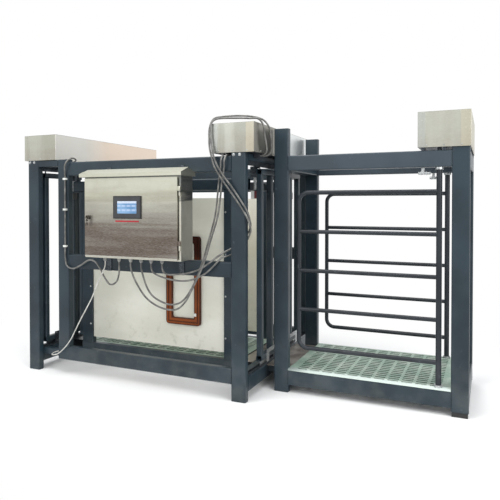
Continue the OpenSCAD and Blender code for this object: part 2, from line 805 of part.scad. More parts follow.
// Load cells between the outer frame and the cage
module at_cells() both() for (x = [cell_front_x, cell_rear_x])
    translate([x, cage_y + tube_d / 2, 0]) children();

module hanger_plates() color(paint) place() both() {
    block(cell_front_x - cell_w / 2, cage_x - hang_gap, cage_y, cage_y + tube_d,
        cage_top_z - hang_t, cage_top_z);
    block(cage_end + hang_gap, cell_rear_x + cell_w / 2, cage_y, cage_y + tube_d,
        cage_top_z - hang_t, cage_top_z);
}

module load_cells() color(zinc) place() at_cells() difference() {
    translate([-cell_w / 2, -cell_t / 2, cell_z]) cube([cell_w, cell_t, cell_h]);
    for (s = [-1, 1]) {
        translate([s * cell_w / 2 - slot_len / 2, -cell_t / 2 - over, cell_z + cell_h / 2 + s * cell_h / 4])
            cube([slot_len, cell_t + 2 * over, slot_w]);
        translate([s * cell_bore, -cell_t / 2 - over, cell_z + cell_h / 2]) rotate([-90, 0, 0])
            cylinder(h = cell_t + 2 * over, d = cell_bore);
    }
}

module load_rods() color(zinc) place() at_cells() {
    translate([0, 0, cage_top_z]) cylinder(h = cell_z - cage_top_z, d = rod_d);
    translate([0, 0, cell_top]) cylinder(h = top_beam_z - cell_top, d = stud_d);
}

module stop_blocks() color(white) place() both() for (x = [cell_front_x, cell_rear_x])
    block(x - stop_w / 2, x + stop_w / 2, cage_y, cage_y + tube_d,
        cage_top_z - hang_t - stop_h, cage_top_z - hang_t);

// Control cabinet on the front of the weighing frame
module cabinet_rails() color(zinc) place() for (x = [cab_x + strip_inset, cab_x + cab_w - strip_inset])
    block(x - strip_w / 2, x + strip_w / 2, -strip_t, 0, middle_z, upper_z + tube_w / 2);

module hinge_at(share) translate([cab_hinge_x, cab_hinge_y, cab_z + share * cab_h]) children();

module cabinet_body() color(steel) place() {
    difference() {
        block(cab_x, cab_x + cab_w, cab_front, cab_back, cab_z, cab_z + cab_h);
        block(cab_x + sheet, cab_x + cab_w - sheet, cab_front + sheet, cab_back - sheet,
            cab_z + sheet, cab_z + cab_h - sheet);
        block(cab_x + cab_lip, cab_x + cab_w - cab_lip, cab_front - over, cab_front + sheet + over,
            cab_z + cab_lip, cab_z + cab_h - cab_lip);
    }
    for (share = cab_hinge_shares) hinge_at(share) {
        translate([-cab_hinge_d / 2, 0, -cab_hinge_l / 2])
            cube([cab_hinge_d, cab_hinge_d / 2 + seat, cab_hinge_l / 2 - seat]);
        translate([0, 0, -cab_hinge_l / 2]) cylinder(h = cab_hinge_l / 2 - seat, d = cab_hinge_d);
        translate([0, 0, -cab_hinge_l / 2]) cylinder(h = cab_hinge_l - tube_wall, d = cab_pin_d);
    }
}

module cabinet_roof() color(steel) place() {
    deep = cab_d + cab_door_t + roof_over;
    ridge = deep / 2;
    translate([cab_x - roof_over, cab_back, cab_z + cab_h]) difference() {
        rotate([90, 0, 90]) linear_extrude(cab_w + 2 * roof_over)
            polygon([[0, 0], [-deep, 0], [-deep, eave_h], [-ridge, roof_h], [0, eave_h]]);
        translate([sheet, 0, 0]) rotate([90, 0, 90]) linear_extrude(cab_w + 2 * roof_over - 2 * sheet)
            polygon([[over, sheet], [sheet - deep, sheet], [sheet - deep, eave_h - sheet],
                [-ridge, roof_h - sheet], [over, eave_h - sheet]]);
    }
}

module touch_hole(gap) block(touch_x + touch_edge - gap, touch_x + touch_w - touch_edge + gap,
    door_front - over, cab_front + over, touch_z + touch_edge - gap, touch_z + touch_h - touch_edge + gap);

module cabinet_door() color(steel) place() {
    difference() {
        block(door_x, door_x + door_w, door_front, cab_front, door_z, door_z + door_h);
        block(door_x + sheet, door_x + door_w - sheet, door_front + sheet, cab_front + over,
            door_z + sheet, door_z + door_h - sheet);
        touch_hole(seat);
        rod_y(lock_x, door_front - over, cab_front + over, lock_z, lock_d + 2 * slip);
    }
    for (share = cab_hinge_shares) hinge_at(share) difference() {
        union() {
            cylinder(h = cab_hinge_l / 2, d = cab_hinge_d);
            translate([-cab_hinge_d, -cab_hinge_d / 2, 0])
                cube([cab_hinge_d, cab_hinge_d / 2, cab_hinge_l / 2]);
        }
        translate([0, 0, -over]) cylinder(h = cab_hinge_l / 2 + 2 * over, d = cab_pin_d + 2 * slip);
    }
}

module touch_panel() color(dark) place() difference() {
    union() {
        block(touch_x, touch_x + touch_w, door_front - touch_t, door_front, touch_z, touch_z + touch_h);
        block(touch_x + touch_edge, touch_x + touch_w - touch_edge, door_front, door_front + touch_back,
            touch_z + touch_edge, touch_z + touch_h - touch_edge);
    }
    block(touch_x + screen_side, touch_x + touch_w - screen_side, door_front - touch_t - over,
        door_front - touch_t + screen_t + over, touch_z + screen_low, touch_z + touch_h - screen_low);
}

module touch_screen() color("#82b4f0") place()
    block(touch_x + screen_side, touch_x + touch_w - screen_side, door_front - touch_t + over,
        door_front - touch_t + screen_t + over, touch_z + screen_low, touch_z + touch_h - screen_low);

module door_lock() color(zinc) place() {
    rod_y(lock_x, door_front - lock_out, cab_front + 2 * cam_t + sheet, lock_z, lock_d);
    rod_y(lock_x, door_front - lock_flange_t, door_front, lock_z, lock_flange_d);
    block(lock_x - cam_w / 2, lock_x + cam_w / 2, cab_front + cam_t + sheet, cab_front + 2 * cam_t + sheet,
        lock_z, lock_z + cam_l);
    block(lock_x - key_t / 2, lock_x + key_t / 2, door_front - lock_out - key_l, door_front - lock_out,
        lock_z - key_w / 2, lock_z + key_w / 2);
}

module control_modules() color(dark) place() {
    x = cab_x + backplate_in;
    z = cab_z + backplate_in;
    w = cab_w - 2 * backplate_in;
    h = cab_h - 2 * backplate_in;
    face = cab_back - sheet - spacer_h - backplate_t;
    block(x, x + w, face, face + backplate_t, z, z + h);
    for (sx = [spacer_d, w - spacer_d], sz = [spacer_d, h - spacer_d])
        rod_y(x + sx, face + backplate_t, cab_back - sheet, z + sz, spacer_d);
    for (m = module_shares)
        block(x + m[0] * w, x + (m[0] + m[2]) * w, face - module_t, face,
            z + m[1] * h, z + (m[1] + m[3]) * h);
}

module cable_glands() color(dark) place() for (r = routes)
    translate([r[0][0], r[0][1], gland_z]) {
        cylinder(h = gland_h, d = gland_d);
        translate([0, 0, gland_h / 2]) cylinder(h = gland_h / 4, d = gland_d + 2 * tube_wall, $fn = 6);
    }

function last(p) = p[len(p) - 1];

module plate_box(x0, x1, y0, y1) block(x0, x1, y0, y1, post_h - box_h, post_h);

module cable_boxes() color(dark) place() {
    entry = last(entry_route);
    left = last(exit_route_b);
    right = last(exit_route_a);
    near = last(sorter_route_b);
    far = last(sorter_route_a);
    plate_box(entry[0] - box_l, entry[0], entry[1] - box_edge, entry[1] + box_edge);
    plate_box(left[0] - box_edge, right[0] + box_edge, right[1], right[1] + box_l);
    plate_box(far[0] - box_l, far[0], near[1] - box_edge, far[1] + box_edge);
}

// Swing gates of the sorting run
module gate() {
    high = gate_high_z;
    free_x = hinge_x - gate_len;
    pipe_z(hinge_x, near_y, gate_base_z + seat, gate_top_z - seat, hinge_d, hinge_d / 2 - pin_d / 2 + over);
    translate([hinge_x, near_y, gate_base_z - pin_depth])
        cylinder(h = pin_depth + gate_low_z - gate_base_z, d = pin_d);
    translate([hinge_x, near_y, gate_high_z])
        cylinder(h = short_h + plate + flange_t + shaft_end - gate_high_z, d = pin_d);
    for (z = [gate_low_z, high])
        difference() {
            rod_x(free_x + gate_bend, hinge_x, near_y, z, gate_d);
            translate([hinge_x, near_y, 0]) cylinder(h = post_h, d = hinge_d - over);
        }
    for (i = [1:gate_count - 2])
        difference() {
            rod_x(free_x, hinge_x, near_y, gate_low_z + i * gate_pitch, gate_bar_d);
            translate([hinge_x, near_y, 0]) cylinder(h = post_h, d = hinge_d - over);
        }
    translate([free_x, near_y, gate_low_z + gate_bend])
        cylinder(h = high - gate_low_z - 2 * gate_bend, d = gate_d);
    for (c = [[gate_low_z + gate_bend, 180], [high - gate_bend, 90]])
        translate([free_x + gate_bend, near_y, c[0]]) rotate([90, 0, 0]) rotate([0, 0, c[1]])
            rotate_extrude(angle = 90) translate([gate_bend, 0]) circle(d = gate_d);
}

module near_gate() color(paint) place() gate();

module far_gate() color(paint) place() flip() gate();

module gate_bearings() color(zinc) place() both() {
    translate([hinge_x, near_y, walk_top]) difference() {
        cylinder(h = bearing_h, d = bearing_d);
        translate([0, 0, bearing_h - pin_depth - slip])
            cylinder(h = bearing_h, d = pin_d + 2 * slip);
    }
    translate([hinge_x, near_y, gate_top_z]) difference() {
        cylinder(h = bearing_h, d = bearing_d);
        translate([0, 0, -over]) cylinder(h = bearing_h + 2 * over, d = pin_d + 2 * slip);
    }
}

module gate_motors() color(dark) place() both() translate([hinge_x, near_y, short_h + plate]) difference() {
    union() {
        translate([-bearing_d, -tube_d / 2, 0]) cube([2 * bearing_d, tube_d, flange_t]);
        cylinder(h = motor_h, d = motor_d);
    }
    translate([0, 0, -over]) cylinder(h = flange_t + shaft_end + 2 * over, d = pin_d + 2 * slip);
}

module position_sensors() color(zinc) place() both() {
    x = hinge_x - sensor_off - sensor_l;
    rod_x(x, x + sensor_l, near_y, sort_upper_z - sensor_drop, sensor_d);
    block(x + sensor_l / 4, x + sensor_l / 2, near_y - sensor_d / 2, near_y + sensor_d / 2,
        sort_upper_z - sensor_drop, sort_upper_z);
}

// Small fittings
module cable_clips() color(white) place() for (i = [clip_first:clip_last])
    let (c = entry_route[i]) difference() {
    block(c[0] - clip_w / 2, c[0] + clip_w / 2, c[1] - cable_d / 2 - tube_wall, 0,
        c[2] - clip_h / 2, c[2] + clip_h / 2);
    translate([c[0], c[1], c[2] - clip_h / 2 - over])
        cylinder(h = clip_h + 2 * over, d = cable_d + 2 * seat);
}

module frame_bolts() color(zinc) place() both() for (x = portals, s = bolt_shares)
    rod_y(x + s * tube_w, -bolt_t, 0, post_h - bolt_drop, bolt_d);

// Cables
module sensor_lead() color(zinc) place() cable(lead_route, lead_d, 8);

module entry_cable() color(dark) place() cable(entry_route, cable_d, 8);

module exit_cables() color(dark) place() {
    cable(exit_route_a, cable_d, 8);
    cable(exit_route_b, cable_d, 8);
}

module sorter_cables() color(dark) place() {
    cable(sorter_route_a, cable_d, 8);
    cable(sorter_route_b, cable_d, 8);
}

tie_tubes();
weigh_posts();
side_beams();
cross_beams();
sorter_posts();
sorter_side_beams();
sorter_cross_beams();
levelling_feet();
threshold_plates();
sorter_floor();
base_plates();
entry_cover();
exit_cover();
sorter_cover();
overhead_tracks();
bottom_tracks();
entry_front_leaf();
entry_rear_leaf();
exit_front_leaf();
exit_rear_leaf();
entry_front_carriage();
entry_rear_carriage();
exit_front_carriage();
exit_rear_carriage();
entry_actuators();
exit_actuators();
cage_posts();
cage_top_beams();
cage_bottom_beams();
cage_cross_members();
cage_floor();
front_panel();
rear_panel();
tag_antenna();
hanger_plates();
load_cells();
load_rods();
stop_blocks();
cabinet_rails();
cabinet_body();
cabinet_roof();
cabinet_door();
touch_panel();
touch_screen();
door_lock();
control_modules();
cable_glands();
cable_boxes();
near_gate();
far_gate();
gate_bearings();
gate_motors();
position_sensors();
cable_clips();
frame_bolts();
sensor_lead();
entry_cable();
exit_cables();
sorter_cables();
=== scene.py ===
"""Looks of the livestock weighing crate: finishes on its solids, its cables and its small fittings."""
import math
from contextlib import contextmanager

import bpy
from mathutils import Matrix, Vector
from mathutils.geometry import interpolate_bezier


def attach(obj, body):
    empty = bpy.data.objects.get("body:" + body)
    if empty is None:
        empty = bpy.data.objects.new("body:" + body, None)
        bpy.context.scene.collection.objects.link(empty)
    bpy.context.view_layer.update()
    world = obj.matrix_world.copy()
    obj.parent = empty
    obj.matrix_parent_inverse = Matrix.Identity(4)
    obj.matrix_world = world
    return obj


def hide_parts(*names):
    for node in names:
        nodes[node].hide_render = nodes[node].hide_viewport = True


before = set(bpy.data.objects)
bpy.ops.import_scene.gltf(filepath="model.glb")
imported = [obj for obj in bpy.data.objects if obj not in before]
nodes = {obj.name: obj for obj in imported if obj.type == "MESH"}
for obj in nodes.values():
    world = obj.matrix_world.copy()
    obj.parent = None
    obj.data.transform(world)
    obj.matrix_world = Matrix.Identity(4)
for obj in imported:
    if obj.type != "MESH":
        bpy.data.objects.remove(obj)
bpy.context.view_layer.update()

# The drawing's zero is the first post's outer corner; the model's zero is the middle of its box.
ORIGIN = Vector((1.540, 0.559, 0))
MM = 0.001


def at(x, y, z):
    """A place in the drawing's millimetres, as a point of the model in metres."""
    return Vector((x, y, z)) * MM - ORIGIN


# Camera, fitted to the frame's straight edges

LENS_MM = 39.02
SENSOR_MM = 36
SHIFT_UP = -0.0767
EYE_PLACE = (3207.6, -3087.5, 1258.9)
EYE_TURN = (89.12, 0, 23.86)
camera = bpy.data.cameras.new("camera")
camera.lens = LENS_MM
camera.sensor_width = SENSOR_MM
camera.shift_y = SHIFT_UP
eye = bpy.data.objects.new("camera", camera)
eye.location = at(*EYE_PLACE)
eye.rotation_euler = [math.radians(angle) for angle in EYE_TURN]
bpy.context.scene.collection.objects.link(eye)
bpy.context.scene.camera = eye
bpy.context.scene.view_settings.view_transform = "Standard"


# Finishes

def srgb(red, green, blue):
    """A colour written as on a screen, made linear."""
    def linear(v):
        v /= 255
        return v / 12.92 if v <= 0.04045 else ((v + 0.055) / 1.055) ** 2.4
    return (linear(red), linear(green), linear(blue), 1)


class Value:
    """A number that changes over a surface; arithmetic on it adds the Math nodes."""

    def __init__(self, graph, socket):
        self.graph = graph
        self.socket = socket

    def __add__(self, other):
        return self.graph.math("ADD", self, other)

    __radd__ = __add__

    def __sub__(self, other):
        return self.graph.math("SUBTRACT", self, other)

    def __rsub__(self, other):
        return self.graph.math("SUBTRACT", other, self)

    def __mul__(self, other):
        return self.graph.math("MULTIPLY", self, other)

    __rmul__ = __mul__

    def __gt__(self, other):
        return self.graph.math("GREATER_THAN", self, other)

    def __lt__(self, other):
        return self.graph.math("LESS_THAN", self, other)

    def __abs__(self):
        return self.graph.math("ABSOLUTE", self, 0)


class Graph:
    """The node tree of a material or a world."""

    def __init__(self, owner):
        owner.use_nodes = True
        self.tree = owner.node_tree

    def node(self, kind, settings=None, sockets=None, output=0):
        node = self.tree.nodes.new(kind)
        for key, value in (settings or {}).items():
            setattr(node, key, value)
        for key, value in (sockets or {}).items():
            self.feed(node.inputs[key], value)
        return Value(self, node.outputs[output])

    def feed(self, socket, value):
        if isinstance(value, Value):
            self.tree.links.new(value.socket, socket)
        else:
            socket.default_value = value

    def math(self, operation, first, second):
        return self.node("ShaderNodeMath", {"operation": operation}, {0: first, 1: second})


class Finish(Graph):
    """One material on Object coordinates, built from noise, ramps and mixes."""

    def __init__(self, name, **sockets):
        self.material = bpy.data.materials.new(name)
        super().__init__(self.material)
        self.shader = self.tree.nodes["Principled BSDF"]
        self.place = self.node("ShaderNodeTexCoord", output="Object")
        self.set(**sockets)

    def set(self, **sockets):
        for key, value in sockets.items():
            self.feed(self.shader.inputs[key.replace("_", " ")], value)
        return self

    def axis(self, name):
        return self.node("ShaderNodeSeparateXYZ", None, {0: self.place}, name)

    def stretched(self, scale):
        return self.node("ShaderNodeMapping", None, {"Vector": self.place, "Scale": scale})

    def noise(self, scale, detail=3, stretch=None, distort=0):
        where = self.stretched(stretch) if stretch else self.place
        sockets = {"Vector": where, "Scale": scale, "Detail": detail, "Distortion": distort}
        return self.node("ShaderNodeTexNoise", None, sockets)

    def ramp(self, value, low, high, start=0.0, end=1.0):
        sockets = {"Value": value, "From Min": low, "From Max": high, "To Min": start, "To Max": end}
        return self.node("ShaderNodeMapRange", {"interpolation_type": "SMOOTHSTEP"}, sockets)

    def patches(self):
        """Soft uneven patches, as in moulded plastic."""
        return self.ramp(self.noise(6, 5), 0.38, 0.68)

    def inset(self, centre, half):
        """How far a point lies inside an upright rectangle's outline."""
        sides = half[0] - abs(self.axis("X") - centre[0])
        ends = half[1] - abs(self.axis("Z") - centre[1])
        return self.math("MINIMUM", sides, ends)

    def mix(self, first, second, share):
        sockets = {0: share, 6: first, 7: second}
        return self.node("ShaderNodeMix", {"data_type": "RGBA"}, sockets, 2)

    def bump(self, height, strength, distance):
        sockets = {"Height": height, "Strength": strength, "Distance": distance}
        return self.set(Normal=self.node("ShaderNodeBump", None, sockets))


# Covers, in the drawing's millimetres: left, right, front, back, foot and top of each, how far in the laps
# at its left and right corners reach, and how far they stand back from the corner
ENTRY_BOX = (-28, 277, -6, 1316, 1580, 1768)
EXIT_BOX = (1574, 1872, -6, 1316, 1580, 1768)
SORTER_BOX = (2811, 3108, 285, 1025, 1592, 1804)
LEFT_LAP, RIGHT_LAP, LAP_INSET = 44, 56, 2

# Places that finishes refer to, in the model's metres: the entry's darker end, the middle and half size of
# the brown loop and of the touch panel, how far in their dark edges and the loop's groove lie (painted
# shade on the loop), the foot of the screen's bright bar, and the fades of the covers' painted reflection,
# of the painted light on their right faces and of the floor's front strip's painted highlight
ENTRY_DARK_END = (-1.1, -0.4)
LOOP_OUTLINE = ((-0.360, 0.7005), (0.142, 0.3215))
LOOP_EDGES, LOOP_GROOVE = (0.007, 0.044), (0.018, 0.026)
PANEL_OUTLINE = ((-0.5035, 1.2325), (0.1095, 0.0745))
PANEL_EDGE = 0.007
SCREEN_BAR = 1.258
COVER_FADE = (1.55, 1.75)
SIDE_FADE = (-0.30, 0.10)
STRIP_HIGHLIGHT_FADE = (0.40, 0.62)

# Stretch of the noise for upright and for level streaks, which are painted reflections on the stainless
UPRIGHT, LEVEL = (4, 4, 0.3), (0.3, 0.3, 5)


def slate_paint(name, low, high, highlight_from=None):
    """Dark slate enamel: soft cloudy tone, dust and rubbed spots; above a height, if one is given, a
    painted highlight makes it paler.
    """
    f = Finish(name, Specular_IOR_Level=0.4)
    cloud = f.noise(3.5, 4)
    grain = f.noise(420, 2)
    rubbed = f.ramp(f.noise(26, 6), 0.66, 0.74)
    dust = f.ramp(f.axis("Z"), 0.5, 0.0, 0.0, 0.22) * f.ramp(f.noise(9, 5), 0.35, 0.7)
    tone = f.mix(low, high, f.ramp(cloud, 0.3, 0.7))
    tone = f.mix(tone, srgb(84, 93, 101), rubbed * 0.3)
    tone = f.mix(tone, srgb(112, 116, 114), dust)
    # painted highlight: paler above the given height
    if highlight_from:
        tone = f.mix(tone, srgb(104, 113, 122), f.ramp(f.axis("Z"), highlight_from - 0.1, highlight_from, 0.0, 0.18))
    f.set(Base_Color=tone, Roughness=0.24 + cloud * 0.16 + rubbed * 0.12 + grain * 0.06)
    return f.bump(grain, 0.10, 0.0006)


def stainless(name, light, shade, fade, streaks, box=None, strips=False, side=None):
    """Brushed stainless sheet: fine lines, broad pale streaks of painted reflection, and a slow drift of
    tone over its height that is painted reflection and shade; box is a cover's, whose top gets painted
    shade; strips puts painted highlights on its laps; the right face gets painted light from the tones
    given for it."""
    f = Finish(name, Metallic=1.0, Specular_IOR_Level=0.5)
    lines = f.noise(60, 4, (1, 1, 14))
    waves = f.noise(2.4, 3, (1, 1, 7), 0.6)
    # painted reflections: broad pale streaks
    bands = f.ramp(f.noise(2.6, 3, streaks, 0.3), 0.4, 0.62)
    smear = f.ramp(f.noise(7, 5), 0.45, 0.75)
    # painted reflection and shade: the tone drifts between the two given colours with height
    drop = f.ramp(f.axis("Z") + waves * 0.24, fade[0] + 0.12, fade[1] + 0.12)
    tone = f.mix(shade, light, drop)
    tone = f.mix(tone, srgb(222, 222, 214), f.ramp(lines, 0.35, 0.75, 0.0, 0.22))
    tone = f.mix(tone, srgb(222, 224, 216), bands * 0.22)
    tone = f.mix(tone, srgb(140, 130, 116), smear * 0.18)
    # painted highlights: the laps at the corners are lighter
    if strips:
        left, right = at(box[0] + LEFT_LAP, 0, 0).x, at(box[1] - RIGHT_LAP, 0, 0).x
        tone = f.mix(tone, srgb(170, 178, 178), (f.axis("X") < left) * 0.35)
        tone = f.mix(tone, srgb(206, 194, 166), (f.axis("X") > right) * 0.3)
    # painted light on the right face, changing from front to back
    if side:
        face = at(box[1], 0, 0).x
        drift = f.mix(*side, f.ramp(f.axis("Y"), *SIDE_FADE))
        tone = f.mix(tone, drift, f.ramp(f.axis("X"), face - 0.004, face - 0.001, 0.0, 0.95))
    # painted shade: the top face is darker
    if box:
        top = at(0, 0, box[5]).z
        tone = f.mix(tone, srgb(128, 130, 124), f.ramp(f.axis("Z"), top - 0.003, top - 0.0008, 0.0, 0.85))
    f.set(Base_Color=tone, Roughness=0.30 + lines * 0.16 + smear * 0.10)
    return f.bump(lines, 0.12, 0.0004)


def zinc_plate(name, light, shade):
    """Galvanised fittings: pale grey with spangle and dull patches."""
    f = Finish(name, Metallic=0.85)
    spangle = f.node("ShaderNodeTexVoronoi", None, {"Vector": f.place, "Scale": 110.0}, "Distance")
    dull = f.ramp(f.noise(14, 5), 0.4, 0.7)
    tone = f.mix(light, shade, f.ramp(spangle, 0.2, 0.7))
    tone = f.mix(tone, shade, dull * 0.5)
    f.set(Base_Color=tone, Roughness=0.32 + dull * 0.2 + spangle * 0.08)
    return f.bump(spangle, 0.05, 0.0005)


def moulded(name, first, second, roughness, scale=120, depth=0.06, entry_tone=None):
    """Moulded plastic or rubber: fine grain, patches of a second tone; a tone given for the entry's end
    takes over towards that end.
    """
    f = Finish(name)
    grain = f.noise(scale, 3)
    patch = f.patches()
    tone = f.mix(first, second, patch)
    if entry_tone:
        tone = f.mix(entry_tone, tone, f.ramp(f.axis("X"), *ENTRY_DARK_END))
    f.set(Base_Color=tone, Roughness=roughness + grain * 0.12 + patch * 0.06)
    return f.bump(grain, depth, 0.0008)


def panel_board(name, light, shade):
    """Cream board with a faint horizontal drift, scuffs and splashes low down."""
    f = Finish(name)
    drift = f.noise(1.6, 4, (1, 1, 2.5))
    scuff = f.ramp(f.noise(30, 6, (3, 1, 1)), 0.66, 0.78)
    low = f.ramp(f.axis("Z"), 0.62, 0.2)
    splash = f.ramp(f.noise(19, 6), 0.55, 0.75) * low
    tone = f.mix(light, shade, f.ramp(drift, 0.35, 0.65))
    tone = f.mix(tone, srgb(186, 182, 164), scuff * 0.35)
    tone = f.mix(tone, srgb(160, 160, 138), splash * 0.35)
    f.set(Base_Color=tone, Roughness=0.42 + drift * 0.15 + scuff * 0.15)
    return f.bump(f.noise(180, 2), 0.05, 0.0006)


def slat_plastic(name, top, border=None):
    """Green slatted floor: top worn whitish, painted shade making the slot walls a deep dark green, a strip
    at the front with a painted highlight.
    """
    f = Finish(name)
    worn = f.ramp(f.noise(11, 6), 0.42, 0.66)
    speck = f.ramp(f.noise(70, 5), 0.5, 0.68)
    above_slot_shade = f.ramp(f.axis("Z"), top - 0.003, top - 0.0006)
    tone = f.mix(srgb(122, 150, 134), srgb(148, 172, 156), f.ramp(f.noise(4, 3), 0.35, 0.65))
    tone = f.mix(tone, srgb(202, 206, 196), worn * 0.45)
    tone = f.mix(tone, srgb(226, 232, 224), speck * 0.22)
    # painted shade in the slots: everything below the top face is near black green
    tone = f.mix(srgb(3, 26, 18), tone, above_slot_shade)
    # painted highlight: the front strip goes from grey to pale along its length
    if border:
        strip = f.mix(srgb(126, 138, 134), srgb(214, 228, 220), f.ramp(f.axis("X"), *STRIP_HIGHLIGHT_FADE))
        tone = f.mix(tone, strip, f.ramp(f.axis("Y"), border[1], border[0]))
    f.set(Base_Color=tone, Roughness=0.4 + worn * 0.2)
    return f.bump(f.noise(150, 3), 0.12, 0.001)


def loop_plastic():
    """Brown moulding with painted shade along its edges and in its groove, and painted shade of the beam
    darkening its top part.
    """
    f = Finish("loop_plastic", Specular_IOR_Level=0.2)
    grain = f.noise(120, 3)
    patch = f.patches()
    depth = f.inset(*LOOP_OUTLINE)
    edges = (depth < LOOP_EDGES[0]) + (depth > LOOP_EDGES[1])
    groove = (depth > LOOP_GROOVE[0]) * (depth < LOOP_GROOVE[1])
    tone = f.mix(srgb(136, 68, 24), srgb(108, 53, 20), patch)
    # painted shade of the beam: darker towards the top
    tone = f.mix(tone, srgb(58, 24, 16), f.ramp(f.axis("Z"), 0.78, 0.90))
    # painted shade along the edges and in the groove
    tone = f.mix(tone, srgb(34, 16, 12), (edges + groove) * 0.75)
    f.set(Base_Color=tone, Roughness=0.32 + grain * 0.12)
    return f.bump(grain, 0.06, 0.0008)


def screen_glass():
    """Lit touch screen: pale blue with a bright bar and rows of plain fields."""
    f = Finish("screen_glass", Roughness=0.12, Specular_IOR_Level=0.5)
    glow = f.noise(14, 3)
    rows = f.node("ShaderNodeTexWave", {"bands_direction": "Z"}, {"Vector": f.place, "Scale": 11.0}, "Fac")
    fields = f.node("ShaderNodeTexWave", {"bands_direction": "X"}, {"Vector": f.place, "Scale": 8.0}, "Fac")
    cell = (rows > 0.55) * (0.5 + (fields > 0.4) * 0.5)
    bar = f.axis("Z") > SCREEN_BAR
    tone = f.mix(srgb(88, 130, 172), srgb(120, 156, 192), f.ramp(glow, 0.35, 0.65))
    tone = f.mix(tone, srgb(196, 210, 230), cell * 0.45)
    tone = f.mix(tone, srgb(206, 214, 226), bar * 0.7)
    return f.set(Base_Color=tone, Emission_Color=tone, Emission_Strength=0.14)


def bezel_plastic():
    """Grey moulding of the touch panel with a dark edge all round."""
    f = Finish("bezel_plastic")
    grain = f.noise(120, 3)
    edge = f.inset(*PANEL_OUTLINE) < PANEL_EDGE
    tone = f.mix(srgb(46, 48, 51), srgb(56, 59, 62), f.patches())
    f.set(Base_Color=f.mix(tone, srgb(16, 17, 20), edge * 0.85), Roughness=0.40 + grain * 0.12)
    return f.bump(grain, 0.06, 0.0008)


def plate_steel():
    """Floor plates at the doorways: grey sheet with stains, darker towards the entry."""
    f = Finish("plate_steel", Metallic=0.6)
    stain = f.ramp(f.noise(9, 5), 0.4, 0.68)
    tone = f.mix(srgb(172, 166, 158), srgb(122, 114, 108), stain)
    tone = f.mix(srgb(44, 48, 52), tone, f.ramp(f.axis("X"), *ENTRY_DARK_END))
    f.set(Base_Color=tone, Roughness=0.36 + stain * 0.2)
    return f.bump(f.noise(160, 3), 0.08, 0.0005)


def cable_jacket(name, dark, light):
    """Cable jacket: shiny plastic with a faint grain."""
    f = Finish(name, Coat_Weight=0.6, Coat_Roughness=0.1)
    grain = f.noise(160, 3)
    tone = f.mix(dark, light, f.ramp(f.noise(24, 4), 0.35, 0.7))
    f.set(Base_Color=tone, Roughness=0.24 + grain * 0.16)
    return f.bump(grain, 0.08, 0.0005)


PAINT = slate_paint("slate_paint", srgb(26, 40, 48), srgb(39, 54, 63))
# paler above 1.46 m: a painted highlight on the sorting run's top beams
PALE_PAINT = slate_paint("pale_slate_paint", srgb(26, 40, 48), srgb(39, 54, 63), 1.46)
# a darker copy of the slate paint: painted shade on the gates
GATE_PAINT = slate_paint("gate_paint", srgb(22, 28, 34), srgb(34, 41, 48))
SORTER_COVER = stainless("cover_stainless", srgb(178, 179, 167), srgb(164, 160, 148), COVER_FADE, UPRIGHT,
                         SORTER_BOX, strips=True)
# the entry and exit covers are darker copies of the cover stainless, painted shade on their fronts, and
# their right faces get painted light
ENTRY_COVER = stainless("entry_stainless", srgb(164, 165, 152), srgb(155, 152, 140), COVER_FADE, UPRIGHT,
                        ENTRY_BOX, side=(srgb(220, 219, 213), srgb(233, 217, 201)))
EXIT_COVER = stainless("exit_stainless", srgb(152, 153, 144), srgb(141, 138, 128), COVER_FADE, UPRIGHT,
                       EXIT_BOX, strips=True, side=(srgb(150, 148, 140), srgb(234, 238, 238)))
# a lighter copy of the stainless: a painted highlight
HIGHLIGHT_STAINLESS = stainless("highlight_stainless", srgb(200, 202, 194), srgb(186, 184, 174), COVER_FADE, UPRIGHT)
# the cabinet's drift from pale at the top to brown low down is painted reflection and shade; on the body it
# runs the other way, painted shade dark at the top
CABINET = stainless("cabinet_stainless", srgb(190, 190, 172), srgb(96, 84, 76), (1.06, 1.42), LEVEL)
CABINET_SIDE = stainless("cabinet_side_stainless", srgb(82, 86, 88), srgb(206, 204, 190), (1.29, 1.33),
                         LEVEL)
ZINC = zinc_plate("zinc_plate", srgb(205, 208, 208), srgb(160, 163, 164))
DULL_ZINC = zinc_plate("dull_zinc", srgb(92, 98, 104), srgb(64, 70, 76))
KEY_STEEL = zinc_plate("key_steel", srgb(150, 146, 136), srgb(62, 58, 54))
BOARD = panel_board("panel_board", srgb(234, 233, 221), srgb(220, 219, 205))
# a lighter copy of the board: painted light on the rear panel's inner face
REAR_BOARD = panel_board("rear_board", srgb(252, 248, 232), srgb(244, 238, 218))
PLATE = plate_steel()
CAGE_SLATS = slat_plastic("cage_slats", 0.162)
WALK_SLATS = slat_plastic("walk_slats", 0.160, (-0.232, -0.212))
WHITE = moulded("white_plastic", srgb(228, 230, 226), srgb(206, 208, 202), 0.38)
STOP = moulded("stop_plastic", srgb(228, 230, 226), srgb(206, 208, 202), 0.38, entry_tone=srgb(52, 55, 58))
DARK = moulded("dark_plastic", srgb(42, 45, 50), srgb(58, 62, 68), 0.42)
BEZEL = bezel_plastic()
RUBBER = moulded("foot_rubber", srgb(28, 29, 31), srgb(44, 44, 44), 0.62, 60, 0.15)
BROWN = loop_plastic()
RED = moulded("red_strip", srgb(176, 28, 40), srgb(150, 20, 34), 0.4)
GLAND = moulded("gland_plastic", srgb(158, 158, 154), srgb(128, 129, 128), 0.4)
DARK_RED = moulded("dark_red_plastic", srgb(120, 20, 30), srgb(90, 14, 22), 0.4)
MOTOR = moulded("motor_enamel", srgb(58, 62, 66), srgb(84, 88, 90), 0.36)
SCREEN = screen_glass()
JACKET = cable_jacket("cable_jacket", srgb(74, 74, 72), srgb(120, 119, 115))
LEAD = cable_jacket("lead_jacket", srgb(186, 184, 178), srgb(214, 212, 206))

